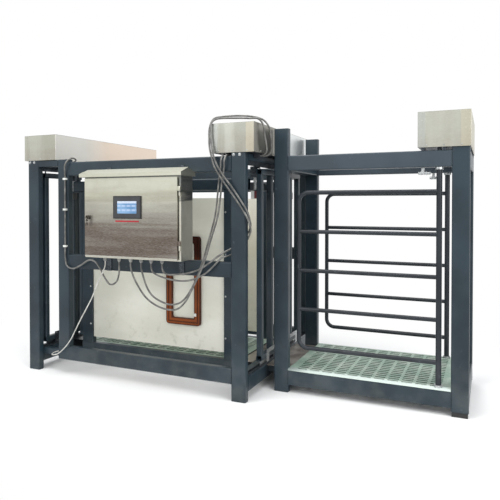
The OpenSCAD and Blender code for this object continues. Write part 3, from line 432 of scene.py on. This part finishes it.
NODE_FINISHES = [
    (PAINT, "paint", "tie_tubes weigh_posts side_beams cross_beams sorter_posts"
        " sorter_cross_beams entry_front_leaf entry_rear_leaf exit_front_leaf exit_rear_leaf cage_posts"
        " cage_top_beams cage_bottom_beams cage_cross_members hanger_plates"),
    (GATE_PAINT, "paint", "near_gate far_gate"),
    (PALE_PAINT, "paint", "sorter_side_beams"),
    (ENTRY_COVER, "stainless", "entry_cover"),
    (EXIT_COVER, "stainless", "exit_cover"),
    (SORTER_COVER, "stainless", "sorter_cover"),
    (CABINET, "stainless", "cabinet_roof cabinet_door"),
    (CABINET_SIDE, "stainless", "cabinet_body"),
    (ZINC, "galvanised", "exit_front_carriage exit_rear_carriage load_rods gate_bearings"
        " position_sensors frame_bolts"),
    (DULL_ZINC, "galvanised", "base_plates overhead_tracks bottom_tracks cabinet_rails load_cells"
        " entry_front_carriage entry_rear_carriage"),
    (KEY_STEEL, "galvanised", "door_lock"),
    (BOARD, "panel_plastic", "front_panel"),
    (REAR_BOARD, "panel_plastic", "rear_panel"),
    (PLATE, "panel_plastic", "threshold_plates"),
    (CAGE_SLATS, "floor_plastic", "cage_floor"),
    (WALK_SLATS, "floor_plastic", "sorter_floor"),
    (WHITE, "white_plastic", "cable_clips"),
    (STOP, "white_plastic", "stop_blocks"),
    (DARK, "dark_plastic", "control_modules cable_glands cable_boxes"),
    (BEZEL, "dark_plastic", "touch_panel"),
    (RUBBER, "foot_rubber", "levelling_feet"),
    (BROWN, "brown_plastic", "tag_antenna"),
    (SCREEN, "screen_glass", "touch_screen"),
    (MOTOR, "actuator_metal", "entry_actuators exit_actuators gate_motors"),
]
for finish, slot, names in NODE_FINISHES:
    for name in names.split():
        nodes[name].data.materials.clear()
        nodes[name].data.materials.append(finish.material)


def dress(piece, finish, body):
    """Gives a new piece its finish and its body."""
    piece.data.materials.clear()
    piece.data.materials.append(finish.material)
    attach(piece, body)
    return piece


# Cables, on the routes of the solids, in metres from the drawing's zero

ROUTES = {
    "lead_route": [
        (0.786, -0.080, 0.862), (0.786, -0.080, 0.835), (0.765, -0.076, 0.790), (0.705, -0.066, 0.697),
        (0.653, -0.056, 0.601), (0.590, -0.046, 0.510), (0.528, -0.036, 0.424), (0.470, -0.028, 0.335),
        (0.418, -0.022, 0.258), (0.350, -0.024, 0.185), (0.306, -0.028, 0.152), (0.264, -0.026, 0.140),
        (0.241, -0.016, 0.138), (0.231, 0.007, 0.142), (0.241, 0.030, 0.147), (0.264, 0.040, 0.152),
        (0.300, 0.040, 0.156)],
    "entry_route": [
        (0.904, -0.080, 0.862), (0.904, -0.080, 0.830), (0.902, -0.080, 0.780), (0.876, -0.076, 0.722),
        (0.822, -0.070, 0.700), (0.770, -0.060, 0.736), (0.719, -0.050, 0.800), (0.668, -0.042, 0.846),
        (0.614, -0.034, 0.857), (0.515, -0.024, 0.810), (0.440, -0.018, 0.786), (0.388, -0.014, 0.804),
        (0.368, -0.010, 0.860), (0.368, -0.010, 0.946), (0.368, -0.010, 1.214), (0.368, -0.010, 1.437),
        (0.368, -0.010, 1.460), (0.370, -0.014, 1.494), (0.379, -0.023, 1.532), (0.391, -0.022, 1.557),
        (0.403, -0.011, 1.576), (0.411, 0.008, 1.587), (0.412, 0.033, 1.589), (0.404, 0.061, 1.583),
        (0.382, 0.087, 1.575), (0.346, 0.108, 1.569), (0.300, 0.123, 1.567), (0.262, 0.130, 1.568),
        (0.240, 0.130, 1.568)],
    "exit_route_a": [
        (0.999, -0.080, 0.862), (0.999, -0.080, 0.830), (1.022, -0.080, 0.764), (1.066, -0.078, 0.692),
        (1.112, -0.075, 0.636), (1.187, -0.072, 0.588), (1.282, -0.070, 0.564), (1.355, -0.068, 0.572),
        (1.412, -0.064, 0.621), (1.465, -0.060, 0.713), (1.506, -0.058, 0.792), (1.547, -0.054, 0.883),
        (1.590, -0.046, 1.025), (1.634, -0.032, 1.185), (1.659, -0.021, 1.407), (1.672, -0.021, 1.490),
        (1.677, -0.028, 1.526), (1.679, -0.025, 1.542), (1.680, -0.015, 1.557), (1.680, 0.000, 1.567),
        (1.680, 0.018, 1.571), (1.680, 0.060, 1.571), (1.680, 0.084, 1.571)],
    "exit_route_b": [
        (1.083, -0.080, 0.862), (1.083, -0.080, 0.830), (1.096, -0.075, 0.772), (1.120, -0.064, 0.695),
        (1.154, -0.056, 0.645), (1.224, -0.048, 0.606), (1.297, -0.042, 0.592), (1.367, -0.036, 0.614),
        (1.432, -0.030, 0.692), (1.492, -0.024, 0.815), (1.562, -0.020, 1.025), (1.608, -0.020, 1.185),
        (1.636, -0.020, 1.407), (1.648, -0.021, 1.490), (1.653, -0.028, 1.526), (1.655, -0.025, 1.542),
        (1.656, -0.015, 1.557), (1.656, 0.000, 1.567), (1.656, 0.018, 1.571), (1.656, 0.060, 1.571),
        (1.656, 0.084, 1.571)],
    "sorter_route_a": [
        (1.163, -0.080, 0.862), (1.163, -0.080, 0.840), (1.167, -0.080, 0.820), (1.178, -0.080, 0.804),
        (1.195, -0.080, 0.793), (1.240, -0.078, 0.777), (1.341, -0.070, 0.758), (1.441, -0.054, 0.762),
        (1.537, -0.030, 0.806), (1.600, -0.017, 0.862), (1.640, 0.002, 0.909), (1.676, 0.036, 0.922),
        (1.708, 0.063, 0.940), (1.755, 0.066, 0.980), (1.802, 0.062, 1.036), (1.828, 0.040, 1.084),
        (1.836, 0.008, 1.124), (1.830, -0.014, 1.168), (1.777, -0.016, 1.250), (1.721, -0.022, 1.328),
        (1.668, -0.035, 1.404), (1.612, -0.036, 1.490), (1.590, -0.032, 1.550), (1.570, -0.023, 1.612),
        (1.559, -0.010, 1.680), (1.558, 0.006, 1.756), (1.578, 0.022, 1.803), (1.636, 0.044, 1.817),
        (1.730, 0.066, 1.820), (1.822, 0.090, 1.812), (1.882, 0.112, 1.792), (1.914, 0.134, 1.750),
        (1.920, 0.154, 1.690), (1.917, 0.172, 1.630), (1.914, 0.179, 1.602), (1.905, 0.183, 1.585),
        (1.890, 0.185, 1.573), (1.868, 0.186, 1.568), (1.850, 0.186, 1.568)],
    "sorter_route_b": [
        (1.248, -0.080, 0.862), (1.248, -0.080, 0.842), (1.252, -0.080, 0.823), (1.262, -0.080, 0.808),
        (1.278, -0.079, 0.798), (1.298, -0.076, 0.794), (1.340, -0.068, 0.796), (1.407, -0.058, 0.804),
        (1.504, -0.041, 0.834), (1.572, -0.022, 0.880), (1.616, -0.002, 0.918), (1.652, 0.032, 0.946),
        (1.696, 0.063, 0.974), (1.752, 0.067, 1.018), (1.802, 0.062, 1.072), (1.828, 0.042, 1.120),
        (1.836, 0.008, 1.160), (1.830, -0.014, 1.206), (1.777, -0.016, 1.288), (1.721, -0.022, 1.368),
        (1.672, -0.035, 1.436), (1.630, -0.036, 1.500), (1.601, -0.032, 1.566), (1.584, -0.026, 1.630),
        (1.577, -0.022, 1.698), (1.577, -0.021, 1.748), (1.581, -0.016, 1.772), (1.591, -0.007, 1.788),
        (1.607, 0.004, 1.798), (1.630, 0.016, 1.802), (1.724, 0.042, 1.802), (1.812, 0.060, 1.798),
        (1.869, 0.072, 1.792), (1.895, 0.088, 1.754), (1.898, 0.104, 1.690), (1.902, 0.122, 1.634),
        (1.899, 0.136, 1.598), (1.889, 0.143, 1.582), (1.874, 0.147, 1.572), (1.860, 0.148, 1.568),
        (1.850, 0.148, 1.568)],
}


# Share of the automatic handles' length at which a bend is closest to round
HANDLE_SHARE = 0.86


def curve_length(spline):
    """Length of a smooth spline along its own line."""
    total = 0
    ends = spline.bezier_points
    for a, b in zip(ends, ends[1:]):
        line = interpolate_bezier(a.co, a.handle_right, b.handle_left, b.co, 33)
        total += sum((q - p).length for p, q in zip(line, line[1:]))
    return total


def cable(name, route, diameter, finish, node):
    """A cable on one smooth open spline, from its gland to what it feeds."""
    points = [Vector(p) - ORIGIN for p in ROUTES[route]]
    curve = bpy.data.curves.new(name, "CURVE")
    curve.dimensions = "3D"
    curve.resolution_u = 10
    curve.bevel_depth = diameter / 2
    curve.bevel_resolution = 3
    curve.use_fill_caps = True
    spline = curve.splines.new("BEZIER")
    spline.bezier_points.add(len(points) - 1)
    for knot, point in zip(spline.bezier_points, points):
        knot.co = point
        knot.handle_left_type = knot.handle_right_type = "AUTO"
    piece = bpy.data.objects.new(name, curve)
    bpy.context.scene.collection.objects.link(piece)
    bpy.context.view_layer.update()
    for knot in spline.bezier_points:
        before = (knot.handle_left - knot.co) * HANDLE_SHARE
        after = (knot.handle_right - knot.co) * HANDLE_SHARE
        knot.handle_left_type = knot.handle_right_type = "FREE"
        knot.handle_left = knot.co + before
        knot.handle_right = knot.co + after
    dress(piece, finish, "frame")
    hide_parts(node)
    curve_length(spline)


LEAD_D = 0.008
CABLE_D = 0.012
cable("sensor_lead_cord", "lead_route", LEAD_D, LEAD, "sensor_lead")
cable("entry_cord", "entry_route", CABLE_D, JACKET, "entry_cable")
cable("exit_cord_a", "exit_route_a", CABLE_D, JACKET, "exit_cables")
cable("exit_cord_b", "exit_route_b", CABLE_D, JACKET, "exit_cables")
cable("sorter_cord_a", "sorter_route_a", CABLE_D, JACKET, "sorter_cables")
cable("sorter_cord_b", "sorter_route_b", CABLE_D, JACKET, "sorter_cables")


# Modelling helpers

SMOOTH_ANGLE = math.radians(40)


@contextmanager
def editing():
    """Edit mode, with the whole piece selected."""
    bpy.ops.object.mode_set(mode="EDIT")
    bpy.ops.mesh.select_all(action="SELECT")
    yield
    bpy.ops.object.mode_set(mode="OBJECT")


def settle(piece, name):
    """Names a piece and puts its place into its mesh."""
    bpy.ops.object.transform_apply(location=True, rotation=True, scale=True)
    piece.name = name
    piece.data.name = name
    return piece


def rounded_block(name, low, high, edge, segments=3):
    """A cube cut to its size, with rounded edges."""
    bpy.ops.object.select_all(action="DESELECT")
    low, high = at(*low), at(*high)
    bpy.ops.mesh.primitive_cube_add(size=1, location=(low + high) / 2)
    piece = bpy.context.object
    piece.scale = high - low
    settle(piece, name)
    with editing():
        bpy.ops.mesh.bevel(offset=edge * MM, segments=segments, affect="EDGES")
    bpy.ops.object.shade_smooth_by_angle(angle=SMOOTH_ANGLE)
    return piece


def loose_block(name, low, high, edge, segments):
    """A rounded block about the model's zero, from where it is copied."""
    piece = rounded_block(name, low, high, edge, segments)
    piece.location = ORIGIN
    return settle(piece, name)


def turned(name, profile, sides=24):
    """A round piece drawn out of a disc, one (radius, height) step after another, upright at the origin."""
    bpy.ops.object.select_all(action="DESELECT")
    radius, height = profile[0]
    bpy.ops.mesh.primitive_circle_add(vertices=sides, radius=radius * MM, fill_type="NGON",
                                      location=(0, 0, height * MM))
    piece = bpy.context.object
    settle(piece, name)
    with editing():
        for wide, high in profile[1:]:
            bpy.ops.mesh.extrude_region_move(TRANSFORM_OT_translate={"value": (0, 0, (high - height) * MM)})
            share = wide / radius
            bpy.ops.transform.resize(value=(share, share, 1), center_override=(0, 0, high * MM))
            radius, height = wide, high
        bpy.ops.mesh.select_all(action="SELECT")
        bpy.ops.mesh.normals_make_consistent(inside=False)
    bpy.ops.object.shade_smooth_by_angle(angle=SMOOTH_ANGLE)
    return piece


FACING = {"up": (0, 0, 0), "down": (math.pi, 0, 0), "front": (math.pi / 2, 0, 0),
          "back": (-math.pi / 2, 0, 0), "left": (0, -math.pi / 2, 0), "right": (0, math.pi / 2, 0)}


def joined(name, parts):
    """Several parts made one piece."""
    bpy.ops.object.select_all(action="DESELECT")
    for part in parts:
        part.select_set(True)
    bpy.context.view_layer.objects.active = parts[0]
    bpy.ops.object.join()
    return settle(bpy.context.object, name)


def copies(model, name, spots):
    """Copies of one model, each at its spot and facing its way, joined to one piece; the model goes."""
    made = []
    for spot, facing in spots:
        copy = model.copy()
        copy.data = model.data.copy()
        copy.location = at(*spot)
        copy.rotation_euler = FACING[facing]
        bpy.context.scene.collection.objects.link(copy)
        made.append(copy)
    bpy.data.objects.remove(model)
    return joined(name, made)


# Small fittings

SCREW = [(4.6, 0), (4.6, 1.0), (3.9, 1.8), (2.2, 2.0), (1.9, 1.0)]
RIVET = [(2.8, 0), (2.6, 0.7), (1.8, 1.2), (0.6, 1.4)]
WASHER = [(10.2, 0), (10.2, 1.4), (9.4, 1.8), (4, 1.8)]
HEX_HEAD = [(8.2, 1.6), (8.2, 5.6), (6.8, 6.6), (2.6, 6.6)]
PANEL_SCREW = [(7, 0), (7, 1.2), (5.6, 3.0), (2.6, 3.5), (2.2, 2.0)]
GLAND_NUT = [(15.2, 0), (16, 0.8), (16, 8.4), (14.8, 9.6), (12, 9.6)]
GLAND_CAP = [(12.4, 8), (12.4, 19), (11.6, 21), (10, 25.5), (8.2, 29), (6.4, 30)]
KEY_BOW = [(2.4, 0.6), (2.8, 0), (8.4, 0), (9, 0.5), (9, 1.3), (8.4, 1.8), (2.8, 1.8), (2.4, 1.2)]
SENSOR_NUT = [(11, 0), (13, 0.8), (13, 5.2), (11, 6), (9.5, 6)]
LAMP = [(3.4, 0), (3.4, 1.4), (2.4, 2.6), (0.8, 3.0)]


SCREW_RISE = 12


def cover_screws(name, box, pitch):
    """Screw heads round the lower edge of a sheet cover."""
    x0, x1, y0, y1, foot = box[:5]
    z = foot + SCREW_RISE
    spots = []
    for i in range(3):
        x = x0 + (x1 - x0) * (i + 0.5) / 3
        spots += [((x, y0, z), "front"), ((x, y1, z), "back")]
    count = round((y1 - y0) / pitch)
    for i in range(count):
        y = y0 + (y1 - y0) * (i + 0.5) / count
        spots += [((x0, y, z), "left"), ((x1, y, z), "right")]
    dress(copies(turned(name, SCREW, 12), name, spots), ZINC, "frame")


def cover_laps(name, box, finish):
    """Folded laps with rivets down the corners of a sheet cover."""
    x0, x1, y0, y1, z0, z1 = box
    lift, short = 1.0, 5
    parts = []
    rivets = []
    for x, width in ((x0 + LAP_INSET, LEFT_LAP - LAP_INSET), (x1 - RIGHT_LAP, RIGHT_LAP - LAP_INSET)):
        parts.append(rounded_block(name, (x, y0 - lift, z0 + short), (x + width, y0, z1 - short), 0.4, 1))
        parts.append(rounded_block(name, (x, y1, z0 + short), (x + width, y1 + lift, z1 - short), 0.4, 1))
        for share in (0.25, 0.5, 0.75):
            z = z0 + (z1 - z0) * share
            rivets += [((x + width / 2, y0 - lift, z), "front"), ((x + width / 2, y1 + lift, z), "back")]
    parts.append(copies(turned(name, RIVET, 10), name, rivets))
    dress(joined(name, parts), finish, "frame")


# Each cover's finish, its box and the spacing of the screws along it
COVERS = {"entry_cover": (ENTRY_COVER, ENTRY_BOX, 220),
          "exit_cover": (EXIT_COVER, EXIT_BOX, 220),
          "sorter_cover": (SORTER_COVER, SORTER_BOX, 185)}
for name, (finish, box, pitch) in COVERS.items():
    cover_screws(name + "_screws", box, pitch)
for name, (finish, box, pitch) in COVERS.items():
    cover_laps(name + "_laps", box, finish)

# Front and back of the outer frame, of the cage's boards and of the sorting run
FRAME_FACES = (0, 1310)
BOARD_FACES = (300, 1010)
RUN_FACES = (295, 1015)

# Bolts at the tops of the end posts
bolt = joined("bolt", [turned("washer", WASHER, 20), turned("head", HEX_HEAD, 6)])
spots = []
for x in (20, 62, 1729, 1771):
    spots += [((x, y, 1566), facing) for y, facing in zip(FRAME_FACES, ("front", "back"))]
bolts = dress(copies(bolt, "bolt_heads", spots), ZINC, "frame")
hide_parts("frame_bolts")

# Weld beads where beams meet posts
spots = []
for y in FRAME_FACES:
    spots += [((x, y, z), "up") for x in (390, 1709) for z in (785, 1460)]
    spots += [((1709, y, 106), "up"), ((290, y, 206), "right")]
for y in RUN_FACES:
    spots += [((x, y, z), "up") for x in (1987, 3004) for z in (48, 1474)]
bead = [(1.0, 3), (2.4, 6)] + [(2.4 if i % 2 else 2.9, 10 + 4 * i) for i in range(21)] + [(1.0, 97)]
dress(copies(turned("bead", bead, 8), "weld_beads", spots), PAINT, "frame")

# Screws that hold the board panels to the cage posts
spots = []
for x in (338, 1522):
    for z in (312, 607, 902, 1197):
        spots += [((x, y, z), facing) for y, facing in zip(BOARD_FACES, ("front", "back"))]
dress(copies(turned("panel_screw", PANEL_SCREW, 14), "panel_screws", spots), ZINC, "frame")

# Closing strips that fill the gap between the entry door and the cage, each with its row of screws
strips = []
spots = []
for y, inner, facing in zip(BOARD_FACES, (305, 1005), ("front", "back")):
    strips.append(rounded_block("strip", (228, min(y, inner), 216), (256, max(y, inner), 1346), 1.2))
    spots += [((241, y, 300 + 240 * i), facing) for i in range(5)]
strips.append(copies(turned("strip_screw", SCREW, 12), "strip_screws", spots))
dress(joined("closing_strips", strips), PAINT, "frame")

# Latch on the loop, and red pads beside the white stops
latch = joined("loop_latch", [rounded_block("latch", (1277, 289, 447), (1291, 295.5, 469), 1.4),
                              rounded_block("tab", (1270, 291, 454), (1279, 295.5, 462), 1.2)])
dress(latch, WHITE, "frame")
pads = joined("stop_pads", [rounded_block("pad", (1741, y, 1292), (1768, y + 56, 1344), 3)
                            for y in (297, 957)])
dress(pads, DARK_RED, "frame")

# Cable glands: six-sided nut at the cabinet, round cap drawn in to the cable
gland = joined("gland", [turned("nut", GLAND_NUT, 6), turned("cap", GLAND_CAP, 20)])
spots = [((x, -80, 892), "down") for x in (786, 904, 999, 1083, 1163, 1248)]
glands = dress(copies(gland, "gland_caps", spots), GLAND, "frame")
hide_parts("cable_glands")

# Red strip on the cabinet door, and a ring of spare keys hung on the key in its lock
strip = rounded_block("red_strip", (940, -166.2, 1136), (1127, -165, 1146), 0.4)
dress(strip, RED, "cabinet_lid")


def spare_key(name, x, y, z, lean):
    """A flat key: round bow with its hole, blade and three teeth, leaning about its bow."""
    bow = turned(name, KEY_BOW, 18)
    bow.rotation_euler = FACING["front"]
    bow.location = at(x, y + 0.9, z - 8)
    bpy.context.view_layer.objects.active = bow
    bow.select_set(True)
    settle(bow, name)
    parts = [bow, rounded_block(name, (x - 3, y - 0.8, z - 46), (x + 3, y + 0.8, z - 16), 0.3)]
    for drop in (28, 34, 41):
        parts.append(rounded_block(name, (x + 2, y - 0.8, z - drop - 3), (x + 5, y + 0.8, z - drop), 0.3))
    key = joined(name, parts)
    with editing():
        bpy.ops.transform.rotate(value=math.radians(lean), orient_axis="Y", center_override=at(x, y, z))
    return key


RING_CENTRE = at(721, -188, 1164)
RING_PULL = (0.94, 1, 1.03)
bpy.ops.object.select_all(action="DESELECT")
bpy.ops.mesh.primitive_torus_add(major_radius=13.2 * MM, minor_radius=1.1 * MM, major_segments=36,
                                 minor_segments=8, location=RING_CENTRE, rotation=FACING["front"])
ring = settle(bpy.context.object, "ring")
with editing():
    bpy.ops.transform.resize(value=RING_PULL, center_override=RING_CENTRE)
bpy.ops.object.shade_smooth()
keys = joined("spare_keys", [ring, spare_key("key", 720, -189.5, 1153, 8),
                             spare_key("key", 724, -186, 1153, -20)])
dress(keys, KEY_STEEL, "cabinet_lid")

# Folded edge along the foot of the cabinet door, in the lighter stainless as a painted highlight
rim = rounded_block("door_rim", (684, -166.4, 900.5), (1414, -164.8, 908), 0.6)
dress(rim, HIGHLIGHT_STAINLESS, "cabinet_lid")

# Lock nuts on the position sensors
spots = [((x, y, 1440), "right") for x in (2824, 2856) for y in (320, 990)]
dress(copies(turned("nut", SENSOR_NUT, 6), "sensor_nuts", spots), ZINC, "frame")

# Inside the cabinet: terminal row, slotted duct, vents and lamps on the modules
MODULE_FACE = -82.5
terminal = joined("terminal", [loose_block("terminal", (-7, -12, -26), (7, 0, 26), 1.5, 2),
                               loose_block("terminal", (-4, -14, -20), (4, -11, -10), 0.6, 1),
                               loose_block("terminal", (-4, -14, 10), (4, -11, 20), 0.6, 1)])
spots = [((770 + 17 * i, MODULE_FACE, 1052), "up") for i in range(34)]
dress(copies(terminal, "terminal_row", spots), GLAND, "frame")

finger = loose_block("finger", (-4, -38, -18), (4, 0, 18), 0.8, 1)
spots = [((762 + 15 * i, -20.5, 1154), "up") for i in range(40)]
duct = joined("wire_duct", [copies(finger, "fingers", spots),
                            rounded_block("lid", (752, -64, 1134), (1358, -56, 1174), 2)])
dress(duct, GLAND, "frame")

vent = loose_block("vent", (-46, -2.4, -1.6), (46, 0, 1.6), 0.7, 2)
spots = [((x, MODULE_FACE, 1206 + 9 * i), "up") for x in (824, 1035, 1265) for i in range(9)]
dress(copies(vent, "module_vents", spots), BEZEL, "frame")
spots = [((x + 14 * i, MODULE_FACE, 1318), "front") for x in (785, 980, 1220) for i in range(5)]
dress(copies(turned("lamp", LAMP, 12), "module_lamps", spots), WHITE, "frame")


WELD_GAP = 0.01 * MM
FOLD_ROUND = 0.7 * MM
FOLD_ANGLE = math.radians(50)


def soften(name):
    """Takes the knife edge off a sheet or board solid."""
    weld = nodes[name].modifiers.new("weld", "WELD")
    weld.merge_threshold = WELD_GAP
    bevel = nodes[name].modifiers.new("bevel", "BEVEL")
    bevel.width = FOLD_ROUND
    bevel.segments = 2
    bevel.limit_method = "ANGLE"
    bevel.angle_limit = FOLD_ANGLE


for name in "entry_cover exit_cover sorter_cover cabinet_door front_panel rear_panel touch_panel".split():
    soften(name)

# Floor and light

GROUND_SIZE = 60
GROUND_Z = -0.0005
SHADOW_FADE = (0.9, 1.9)
SKY_TINT = (0.95, 0.97, 1.0, 1)
SKY_STRENGTH = 0.75
WHITE_LIGHT = (1, 1, 1, 1)

bpy.ops.object.select_all(action="DESELECT")
bpy.ops.mesh.primitive_plane_add(size=GROUND_SIZE, location=(0, 0, GROUND_Z))
ground = bpy.context.object
ground.name = "ground"

pale = Finish("pale_ground", Roughness=0.9, Specular_IOR_Level=0.1)
pale.set(Base_Color=pale.mix(srgb(252, 252, 251), srgb(248, 248, 247), pale.noise(0.6, 2)))
away = pale.node("ShaderNodeVectorMath", {"operation": "LENGTH"}, {0: pale.stretched((0.6, 1, 1))}, "Value")
plain = pale.node("ShaderNodeEmission", None, {"Color": WHITE_LIGHT, "Strength": 1.0})
fade = pale.ramp(away, *SHADOW_FADE)
laid = pale.node("ShaderNodeMixShader", None, {0: fade, 1: Value(pale, pale.shader.outputs[0]), 2: plain})
pale.feed(pale.tree.nodes["Material Output"].inputs["Surface"], laid)
ground.data.materials.append(pale.material)

# The world lights the object softly, and is plain white where it is seen or mirrored
world = bpy.data.worlds.new("studio")
bpy.context.scene.world = world
sky = Graph(world)
sky.tree.nodes.remove(sky.tree.nodes["Background"])
camera_ray, glossy_ray, clear_ray = [sky.node("ShaderNodeLightPath", output="Is %s Ray" % kind)
                                     for kind in ("Camera", "Glossy", "Transmission")]
mirrored = sky.math("MAXIMUM", camera_ray, glossy_ray)
seen = sky.math("MAXIMUM", mirrored, clear_ray)
glow = sky.node("ShaderNodeBackground", None, {"Color": SKY_TINT, "Strength": SKY_STRENGTH})
white = sky.node("ShaderNodeBackground", None, {"Color": WHITE_LIGHT, "Strength": 1.0})
blend = sky.node("ShaderNodeMixShader", None, {0: seen, 1: glow, 2: white})
sky.feed(sky.tree.nodes["World Output"].inputs["Surface"], blend)


def soft_light(name, place, target, size, power):
    """A large soft lamp aimed at a point."""
    lamp = bpy.data.lights.new(name, "AREA")
    lamp.shape = "RECTANGLE"
    lamp.size, lamp.size_y = size
    lamp.energy = power
    lamp_object = bpy.data.objects.new(name, lamp)
    lamp_object.location = place
    lamp_object.rotation_euler = (Vector(target) - Vector(place)).to_track_quat("-Z", "Y").to_euler()
    bpy.context.scene.collection.objects.link(lamp_object)


soft_light("key_light", (-2.5, -4.5, 4.5), (0, 0, 0.8), (3.5, 3.5), 110)
soft_light("fill_light", (4.5, -2.5, 3.2), (0.3, 0, 0.8), (3, 3), 118)
soft_light("top_light", (0, -1.0, 5.5), (0, 0.4, 0.5), (5, 3), 170)
